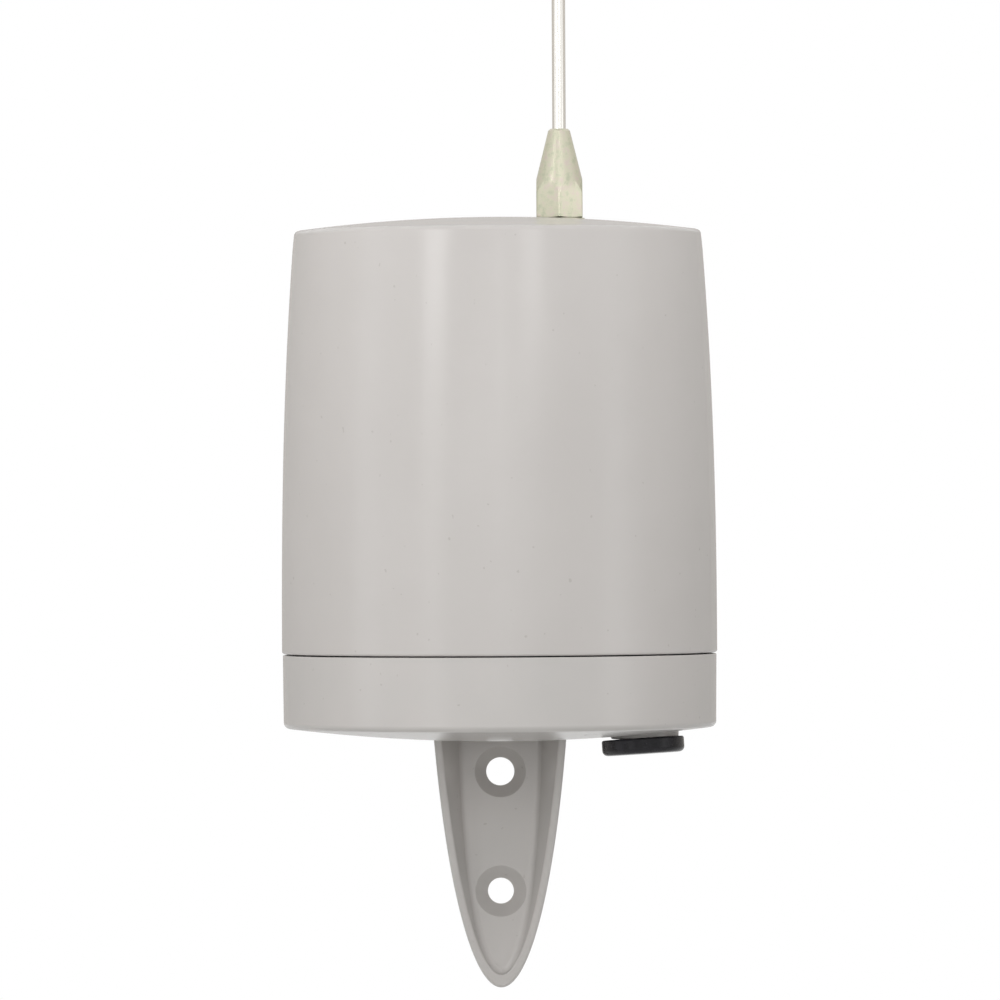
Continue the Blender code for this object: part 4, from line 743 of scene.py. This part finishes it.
low, high, middle = measured("status_led")
radius, foot, tall = 1.5 * MM, 1.9 * MM, BOARD_FRONT - low[1]
lens = [(0, LEAD_GAP), (foot, LEAD_GAP), (foot, 1.2 * MM), (radius, 1.2 * MM)]
lens += arc(0, tall - radius, radius, 0, 90, 10)
tint = (1 * MM, 2.0, 0.5)
RED_EPOXY = clouded("red clear epoxy lens", ("#C3241C", "#A81A14"), (tint, 0.0, 1.0), (tint, 0.05, 0.12),
                    IOR=1.55, Transmission_Weight=0.5)[0]
lens = facing(turned(lens, (0, 0), 64), middle[0], middle[2])
make_piece("light_lens", [lens], RED_EPOXY, "base", ["status_led"])

# ---- seam gasket ----
# A flat EPDM ring in the joint between the two shells, which shows only as a dark line. It lies in a
# rebate of the cover's rim and is squeezed when the cover goes down.
gasket_low, gasket_high, _ = measured("seam_gasket")
GASKET_RADIUS = (gasket_high[0] - gasket_low[0]) / 2
GASKET_WIDTH = 0.9 * MM
bend = 0.2 * MM
outer, inner = GASKET_RADIUS - bend, GASKET_RADIUS - GASKET_WIDTH + bend
top, foot = gasket_high[2] - bend, gasket_low[2] + bend
ring = arc(outer, top, bend, 0, 90) + arc(inner, top, bend, 90, 180) + arc(inner, foot, bend, 180, 270)
ring += arc(outer, foot, bend, 270, 360)


def black_rubber(name, colour, worn):
    """Black EPDM: nearly black, a little greyer where it was handled, with a dull soft gloss."""
    dust = (3 * MM, 4.0, 0.55)
    return clouded(name, (colour, worn), (dust, 0.4, 0.7), (dust, 0.22, 0.32),
                   ((0.4 * MM, 2.0, 0.5), 0.15, 0.03 * MM), IOR=1.52, Specular_IOR_Level=0.25)[0]


EPDM = black_rubber("black moulded EPDM", "#141317", "#2A292F")
make_piece("gasket_ring", [turned(ring + ring[:1])], EPDM, "base", ["seam_gasket"])

# ---- cover ----
# The upper shell: a barrel that narrows towards a faintly domed roof, moulded in light grey ASA with
# 2.2 mm walls. It drops over the base's rim and is held by two screws from below.
COVER_TAPER = 2.44 * MM
TAPER_POWER = 2.4
COVER_HEIGHT = 73.6 * MM
SEAM_RADIUS = 37.84 * MM
ROOF_EDGE_Z = SEAM_Z + COVER_HEIGHT
ROOF_RISE = 2.35 * MM
ROOF_CORNER = 0.9 * MM
WALL = 2.2 * MM
FOOT_Z = cover_low[2]
SHELL_EDGE = 0.45 * MM
REBATE_RADIUS = GASKET_RADIUS + 0.2 * MM
REBATE_Z = gasket_high[2] + 0.2 * MM
washer_low, washer_high, washer_middle = measured("aerial_washer")
AERIAL = washer_middle[:2]
SPOT_RADIUS = 4.65 * MM
SPOT_Z = washer_low[2] - 0.9 * MM
PAD_RADIUS = 7.5 * MM
PAD_THICKNESS = 3 * MM
STUD_HOLE = 2.65 * MM
POST_HEIGHT = 14 * MM
WEB_THICKNESS = 2.6 * MM


def cover_radius(z):
    return SEAM_RADIUS - COVER_TAPER * max(0.0, (z - SEAM_Z) / COVER_HEIGHT) ** TAPER_POWER


def roof_height(radius):
    return ROOF_EDGE_Z + ROOF_RISE * (1 - (radius / cover_radius(ROOF_EDGE_Z)) ** 2)


def shell_side(inset, drop, bottom, wall_steps=28, roof_steps=18):
    """Half profile of one skin of the cover, from the roof's middle out and down the wall."""
    rim = cover_radius(ROOF_EDGE_Z) - inset - ROOF_CORNER
    corner_z = roof_height(rim) - drop - ROOF_CORNER
    roof = [(rim * i / roof_steps, roof_height(rim * i / roof_steps) - drop) for i in range(roof_steps)]
    wall = [corner_z + (bottom - corner_z) * i / wall_steps for i in range(1, wall_steps + 1)]
    return roof + arc(rim, corner_z, ROOF_CORNER, 90, 0, 8) + [(cover_radius(z) - inset, z) for z in wall]


rim_z = FOOT_Z + SHELL_EDGE
side = shell_side(0, 0, rim_z) + arc(cover_radius(FOOT_Z) - SHELL_EDGE, rim_z, SHELL_EDGE, 0, -90)[1:]
side += [(REBATE_RADIUS, FOOT_Z), (REBATE_RADIUS, REBATE_Z)] + shell_side(WALL, WALL, REBATE_Z, 8, 8)[::-1]
pad_z = roof_height(AERIAL[0] - AXIS[0]) - 4.2 * MM
top, foot = cover_high[2] + REACH, pad_z - REACH
stud_way = [(0, top), (SPOT_RADIUS, top), (SPOT_RADIUS, SPOT_Z), (STUD_HOLE, SPOT_Z), (STUD_HOLE, foot)]
shell = drilled(turned(side), [turned(stud_way + [(0, foot)], AERIAL, 96)])
top = pad_z + PAD_THICKNESS
pad = [(STUD_HOLE, pad_z), (PAD_RADIUS, pad_z), (PAD_RADIUS, top), (STUD_HOLE, top)]
posts = [turned(pad + pad[:1], AERIAL, 96)]
post_z = SPIGOT_TOP_Z + 0.4 * MM
top, end = post_z + POST_HEIGHT, post_z + POST_HEIGHT - 2 * MM
post = [(SCREW_WAY, post_z), (SCREW_TUBE, post_z), (SCREW_TUBE, top), (0, top), (0, end), (SCREW_WAY, end)]
web_middle = COVER_SCREW_CIRCLE + 3.6 * MM
half = POST_HEIGHT / 2
for angle in COVER_SCREW_ANGLES:
    posts.append(turned(post + post[:1], around(angle), 48))
    web = bar(web_middle, post_z + half, WEB_THICKNESS / 2, half, -SCREW_TUBE, SCREW_TUBE)
    posts.append(placed(web, (*AXIS, 0), angle, "Z"))
COVER_ASA = moulded_asa("cover light grey moulded ASA", "#C4C0BD", "#C1BDBA")
make_piece("cover_shell", [shell] + posts, COVER_ASA, "cover", ["cover"])

# ---- stud, its washer and nut ----
# A turned brass stud with an M5 thread goes through the roof: its flange lies in the spot face, and a
# plain washer and a hexagon nut hold it from inside.
stud_low, stud_high, _ = measured("aerial_stud")
FLANGE_RADIUS = (stud_high[0] - stud_low[0]) / 2
THREAD_RADIUS = 2.45 * MM
THREAD_PITCH = 0.8 * MM
THREAD_DEPTH = 0.35 * MM
UNDERCUT_RADIUS = 2.2 * MM
flange_top = washer_low[2] - 0.2 * MM
flange_foot = flange_top - 0.5 * MM


def thread(top, bottom):
    """Profile of a thread's crests and roots from one height down to another, as plain rings."""
    crest, root = (THREAD_RADIUS, 0.2), (THREAD_RADIUS - THREAD_DEPTH, 0.5)
    return [(radius, top - THREAD_PITCH * (i + share)) for i in range(int((top - bottom) / THREAD_PITCH))
            for radius, share in (crest, root)]


end, edge = 0.4 * MM, 0.1 * MM
top, foot, neck = stud_high[2], stud_low[2], THREAD_RADIUS - end
stud = [(0, top), (neck, top)] + thread(top - end, flange_top + THREAD_PITCH)
stud += [(UNDERCUT_RADIUS, flange_top), (FLANGE_RADIUS - edge, flange_top)]
stud += [(FLANGE_RADIUS, flange_top - edge), (FLANGE_RADIUS, flange_foot), (THREAD_RADIUS, flange_foot)]
stud += thread(flange_foot - 2 * MM, foot + end) + [(neck, foot), (0, foot)]
make_piece("threaded_stud", [turned(stud, AERIAL, 64)], BRASS, "cover", ["aerial_stud"], sharp=40)
smooth_copy("stud_washer", "plain_washer", BRASS, "cover", 0.08 * MM)
smooth_copy("stud_nut", "hexagon_nut", BRASS, "cover", 0.25 * MM)

# ---- aerial washer, ferrule and whip ----
# The whip aerial: a hexagon ferrule turned from 8 mm bar with a long cone, zinc plated with a
# yellow-green passivation, on a zinc plated washer, and a polished stainless rod fixed in its top.
ferrule_low, ferrule_high, _ = measured("hex_ferrule")
HALF_FLATS = 4.0 * MM
HEX_CORNER = 0.3 * MM
HEX_CHAMFER = 0.2 * MM
CONE_TOP = 1.9 * MM
CONE_HEIGHT = 8.8 * MM
CONE_EDGE = 0.35 * MM
CONE_SLOPE = (HALF_FLATS - CONE_TOP) / CONE_HEIGHT
SCREWED_DOWN = 0.17 * MM        # how far it stands lower than its solid, on its washer
ROD_RADIUS = 1.175 * MM
ROD_CLEARANCE = 0.12 * MM
ROD_HOLE_DEPTH = 5.6 * MM
THREAD_HOLE_DEPTH = 6.2 * MM
HEX_STEPS = 360


def hexagon_radius(angle):
    """Distance from the axis to the hexagon's side, its corners rounded; one corner faces the front."""
    sixth = math.radians(60)
    from_corner = (angle + math.radians(90)) % sixth
    from_corner = min(from_corner, sixth - from_corner)
    centre = (HALF_FLATS - HEX_CORNER) / math.cos(sixth / 2)
    across = centre * math.sin(from_corner)
    if across < HEX_CORNER / 2:
        return centre * math.cos(from_corner) + math.sqrt(HEX_CORNER ** 2 - across ** 2)
    return HALF_FLATS / math.cos(sixth / 2 - from_corner)


def ferrule_column(angle):
    """Heights and radii up one side of the ferrule, from the thread's end round to the rod's hole."""
    bottom, top = ferrule_low[2] - SCREWED_DOWN, ferrule_high[2]
    side = hexagon_radius(angle)
    rod_hole = ROD_RADIUS + ROD_CLEARANCE
    scallop = top - CONE_HEIGHT - (side - HALF_FLATS) / CONE_SLOPE
    foot = bottom + (side - (HALF_FLATS - HEX_CHAMFER)) / 4
    rise = top - CONE_EDGE - scallop
    column = [(0, bottom + THREAD_HOLE_DEPTH), (STUD_HOLE, bottom + THREAD_HOLE_DEPTH), (STUD_HOLE, bottom),
              (HALF_FLATS - HEX_CHAMFER, bottom)]
    column += [(side, foot + (scallop - foot) * i / 4) for i in range(4)]
    column += [(side + (CONE_TOP - side) * i / 8, scallop + rise * i / 8) for i in range(9)]
    return column + [(CONE_TOP - CONE_EDGE, top), (rod_hole, top), (rod_hole, top - ROD_HOLE_DEPTH),
                     (0, top - ROD_HOLE_DEPTH)]


def make_ferrule():
    """A full spin of one side, whose rows then follow the hexagon round."""
    form = bmesh.new()
    row = form.verts.layers.int.new("row")
    points = [form.verts.new((AERIAL[0] + radius, AERIAL[1], z)) for radius, z in ferrule_column(0)]
    for number, point in enumerate(points):
        point[row] = number
    edges = [form.edges.new(pair) for pair in zip(points, points[1:])]
    bmesh.ops.spin(form, geom=points + edges, cent=(*AERIAL, 0), axis=(0, 0, 1), angle=math.tau,
                   steps=HEX_STEPS, use_merge=True)
    for vert in form.verts:
        angle = math.atan2(vert.co.y - AERIAL[1], vert.co.x - AERIAL[0])
        radius, z = ferrule_column(angle)[vert[row]]
        vert.co = (AERIAL[0] + radius * math.cos(angle), AERIAL[1] + radius * math.sin(angle), z)
    bmesh.ops.remove_doubles(form, verts=form.verts, dist=0.002 * MM)
    bmesh.ops.recalc_face_normals(form, faces=form.faces)
    return form


def passivated_zinc(name):
    """Turned steel, zinc plated, with a yellow-green passivation that clouds to pink in places."""
    material, tree, surface, place = new_material(name, Metallic=1.0)
    patches = add_node(tree, "TexNoise", {"Scale": 1 / (1.5 * MM), "Detail": 5.0, "Roughness": 0.7},
                       {"Vector": place})
    ramp = add_node(tree, "ValToRGB", links={"Fac": patches.outputs["Fac"]},
                    feeds={"Color": surface["Base Color"]}).color_ramp
    ramp.elements[0].position, ramp.elements[0].color = 0.36, linear("#BFC2AB")
    ramp.elements[1].position, ramp.elements[1].color = 0.66, linear("#D2C6BC")
    ramp.elements.new(0.5).color = linear("#D0CEB8")
    lathe = add_node(tree, "Mapping", {"Scale": (400, 400, 3200)}, {"Vector": place})
    rings = add_node(tree, "TexNoise", {"Scale": 1.0, "Detail": 2.0}, {"Vector": lathe.outputs[0]})
    rings = rings.outputs["Fac"]
    add_node(tree, "MapRange", {"To Min": 0.27, "To Max": 0.37}, {"Value": rings},
             {0: surface["Roughness"]})
    add_node(tree, "Bump", {"Strength": 0.06, "Distance": 0.02 * MM}, {"Height": rings},
             {"Normal": surface["Normal"]})
    return material


def polished_rod(name):
    """Drawn and polished stainless steel: bright, with faint lines along the draw."""
    material, tree, surface, place = new_material(name, Metallic=1.0)
    draw = add_node(tree, "Mapping", {"Scale": (3000, 3000, 60)}, {"Vector": place})
    lines = add_node(tree, "TexNoise", {"Scale": 1.0, "Detail": 2.0}, {"Vector": draw.outputs[0]})
    lines = lines.outputs["Fac"]
    add_node(tree, "Mix", {6: linear("#E9E6DF"), 7: linear("#F1EFEA")}, {0: lines},
             {2: surface["Base Color"]}, data_type="RGBA")
    add_node(tree, "MapRange", {"To Min": 0.1, "To Max": 0.2}, {"Value": lines}, {0: surface["Roughness"]})
    return material


ZINC = passivated_zinc("yellow passivated zinc on turned steel")
make_piece("ferrule", [make_ferrule()], ZINC, "aerial", ["hex_ferrule"], sharp=18)
rod_low, rod_high, _ = measured("whip_rod")
rod = [(0, rod_low[2]), (ROD_RADIUS, rod_low[2])] + arc(0, rod_high[2] - ROD_RADIUS, ROD_RADIUS, 0, 90, 12)
STAINLESS = polished_rod("polished stainless rod")
make_piece("whip", [turned(rod, AERIAL, 64)], STAINLESS, "aerial", ["whip_rod"])
edge = 0.12 * MM
rim = (washer_high[0] - washer_low[0]) / 2 - edge
top, foot = washer_high[2], washer_low[2]
side = arc(rim, top - edge, edge, 0, 90, 3) + [(STUD_HOLE, top), (STUD_HOLE, foot)]
side += arc(rim, foot + edge, edge, 270, 360, 3)
washer = turned(side + side[:1], AERIAL, 128)
make_piece("washer", [washer], ZINC, "washer", ["aerial_washer"])

# ---- cover screws ----
# Two slotted pan head screws, zinc plated, go up from recesses in the underside through the base's
# tubes into the cover's posts.
HEAD_HEIGHT = 2.3 * MM
for node, angle in zip(("cover_screw_back", "cover_screw_front"), COVER_SCREW_ANGLES):
    low, high, _ = measured(node)
    seat = low[2] + HEAD_HEIGHT
    screw = slotted_screw(1.75 * MM, high[2] - seat, 3.1 * MM, HEAD_HEIGHT, 0.8 * MM, 1.1 * MM)
    screw = placed(screw, (*around(angle), seat), 180)
    make_piece(node + "_slotted", [screw], BRIGHT_ZINC, "base", [node])

# ---- blanking plug ----
# A black rubber plug in the cable entry's collar: a flat disc with a rounded lower edge and a hollow
# stem in the bore. It was pushed in by hand and sits a little crooked.
PLUG_RADIUS = 7.15 * MM
PLUG_THICKNESS = 2.6 * MM
PLUG_ROUNDING = 0.95 * MM
PLUG_SEAT = 6.1 * MM                # a low lip round this seat laps the collar's edge
PLUG_LIP = 0.12 * MM
PLUG_GAP = 0.02 * MM
PLUG_TILT = math.radians(3.5)       # its right side up
PLUG_PITCH = math.radians(2.0)      # its front up
STEM_RADIUS = 3.85 * MM
STEM_LENGTH = 4.6 * MM
STEM_HOLLOW = 2.85 * MM
bend = 0.35 * MM
side = [(0, 0), (STEM_HOLLOW, 0), (STEM_HOLLOW, STEM_LENGTH), (STEM_RADIUS - bend, STEM_LENGTH)]
side += [(STEM_RADIUS, STEM_LENGTH - 2 * bend), (STEM_RADIUS, 0), (PLUG_SEAT, 0)]
side += [(PLUG_SEAT + 0.05 * MM, PLUG_LIP - 0.1 * MM), (PLUG_SEAT + 0.15 * MM, PLUG_LIP)]
side += arc(PLUG_RADIUS - bend, PLUG_LIP - bend, bend, 90, 0, 4)
side += arc(PLUG_RADIUS - PLUG_ROUNDING, PLUG_ROUNDING - PLUG_THICKNESS, PLUG_ROUNDING, 0, -90, 6)
plug = turned(side + [(0, -PLUG_THICKNESS)], (0, 0), 128)
turn = Matrix.Rotation(-PLUG_TILT, 3, "Y") @ Matrix.Rotation(-PLUG_PITCH, 3, "X")
bmesh.ops.rotate(plug, verts=plug.verts, matrix=turn)
bmesh.ops.translate(plug, verts=plug.verts, vec=(*ENTRY, COLLAR_Z - PLUG_GAP))
make_piece("plug", [plug], EPDM, "plug", ["entry_plug"])

# ---- studio ----
# A pale floor under the object, a white surround and large soft lamps, as for a catalogue picture.
FLOOR_Z = -90 * MM


def either_ray(tree, *rays):
    """1 where a ray is of one of the given kinds, and 0 elsewhere."""
    paths = add_node(tree, "LightPath").outputs
    found = paths[rays[0]]
    for ray in rays[1:]:
        found = add_node(tree, "Math", links={0: found, 1: paths[ray]}, operation="MAXIMUM").outputs[0]
    return found


form = bmesh.new()
bmesh.ops.create_circle(form, cap_ends=True, segments=96, radius=0.8)
bmesh.ops.translate(form, vec=(0, 0, FLOOR_Z), verts=form.verts)
floor = as_object(form, "studio_floor")
material, tree, surface, place = new_material("pale studio floor", Roughness=0.8,
                                              Base_Color=linear("#D2D2D0"), Emission_Color=linear("#FFFFFF"))
add_node(tree, "Math", {1: 0.5}, {0: either_ray(tree, "Is Camera Ray", "Is Glossy Ray")},
         {0: surface["Emission Strength"]}, operation="MULTIPLY")
floor.data.materials.append(material)

# Three pale walls beside and behind the object show only in its gloss: in the rod's edges and the roof.
WALL_X = 0.45
WALL_NEAR_Y = -0.12
WALL_FAR_Y = 1.2
WALLS = {"left_wall": (-WALL_X, WALL_NEAR_Y, -WALL_X, WALL_FAR_Y, 0.26),
         "right_wall": (WALL_X, WALL_NEAR_Y, WALL_X, WALL_FAR_Y, 0.26),
         "back_wall": (-WALL_X, WALL_FAR_Y, WALL_X, WALL_FAR_Y, 0.55)}       # two corners and the top
material = new_material("pale studio walls", Roughness=0.9, Base_Color=linear("#808080"),
                        Emission_Color=linear("#EDE8E2"), Emission_Strength=0.62)[0]
for name, (x1, y1, x2, y2, top) in WALLS.items():
    form = bmesh.new()
    corners = [(x1, y1, FLOOR_Z), (x2, y2, FLOOR_Z), (x2, y2, top), (x1, y1, top)]
    form.faces.new([form.verts.new(corner) for corner in corners])
    wall = as_object(form, name)
    wall.data.materials.append(material)
    wall.visible_camera = wall.visible_shadow = wall.visible_diffuse = False

world = bpy.data.worlds.new("white studio")
bpy.context.scene.world = world
world.use_nodes = True
background = world.node_tree.nodes["Background"].inputs
background["Color"].default_value = (1, 1, 1, 1)
seen = either_ray(world.node_tree, "Is Camera Ray", "Is Glossy Ray", "Is Transmission Ray")
add_node(world.node_tree, "MapRange", {"To Min": 0.15, "To Max": 1.0}, {"Value": seen},
         {0: background["Strength"]})

# Each lamp: azimuth, lowest and highest elevation and half width in degrees, its distance in metres, and
# its brightness where 1 is white. The fills are hidden from reflections.
LAMPS = {"left_strip": (-73, -14, 8, 7, 0.6, 0.45), "key_lower": (-34, -12, 6, 6, 0.6, 0.9),
         "key_upper": (-34, 6, 24, 6, 0.6, 3.7), "upper_strip": (19, 8, 24, 5, 0.6, 2.6),
         "right_strip": (62, -14, 6, 7, 0.6, 0.8), "narrow_strip": (1, -6, 40, 0.8, 0.6, 3.0)}
FILLS = {"front_fill": (0, -3, 10, 20, 0.8, 5.5), "top_fill": (0, 33, 67, 35, 0.3, 1.25),
         "left_fill": (-75, 12, 55, 18, 0.28, 2.3), "right_fill": (75, 12, 55, 18, 0.28, 2.4),
         "lower_left_fill": (-75, -8, 12, 18, 0.28, 1.3), "near_under": (0, -32, -12, 25, 0.28, 0.3),
         "back_fill": (180, 5, 45, 22, 0.6, 1.5)}
TARGET = Vector((*AXIS, 80 * MM))
for name, (azimuth, lowest, highest, half_width, distance, brightness) in (LAMPS | FILLS).items():
    lamp = bpy.data.lights.new(name, "AREA")
    lamp.shape = "RECTANGLE"
    lamp.size = 2 * distance * math.tan(math.radians(half_width))
    lamp.size_y = 2 * distance * math.tan(math.radians((highest - lowest) / 2))
    lamp.energy = brightness * math.pi * lamp.size * lamp.size_y
    holder = bpy.data.objects.new(name, lamp)
    holder.visible_glossy = name not in FILLS
    bpy.context.scene.collection.objects.link(holder)
    turn = math.radians(azimuth)
    lift = math.radians((lowest + highest) / 2)
    way = Vector((math.sin(turn) * math.cos(lift), -math.cos(turn) * math.cos(lift), math.sin(lift)))
    holder.location = TARGET + way * distance
    holder.rotation_euler = way.to_track_quat("Z", "Y").to_euler()

camera_data = bpy.data.cameras.new("camera")
camera_data.lens = 360
camera_data.sensor_width = 36
camera = bpy.data.objects.new("camera", camera_data)
bpy.context.scene.collection.objects.link(camera)
camera.location = (0.2 * MM, AXIS[1] - 1.739, 58.8 * MM)
camera.rotation_euler = (math.radians(90), math.radians(0.3), 0)
bpy.context.scene.camera = camera
bpy.context.scene.view_settings.view_transform = "Standard"
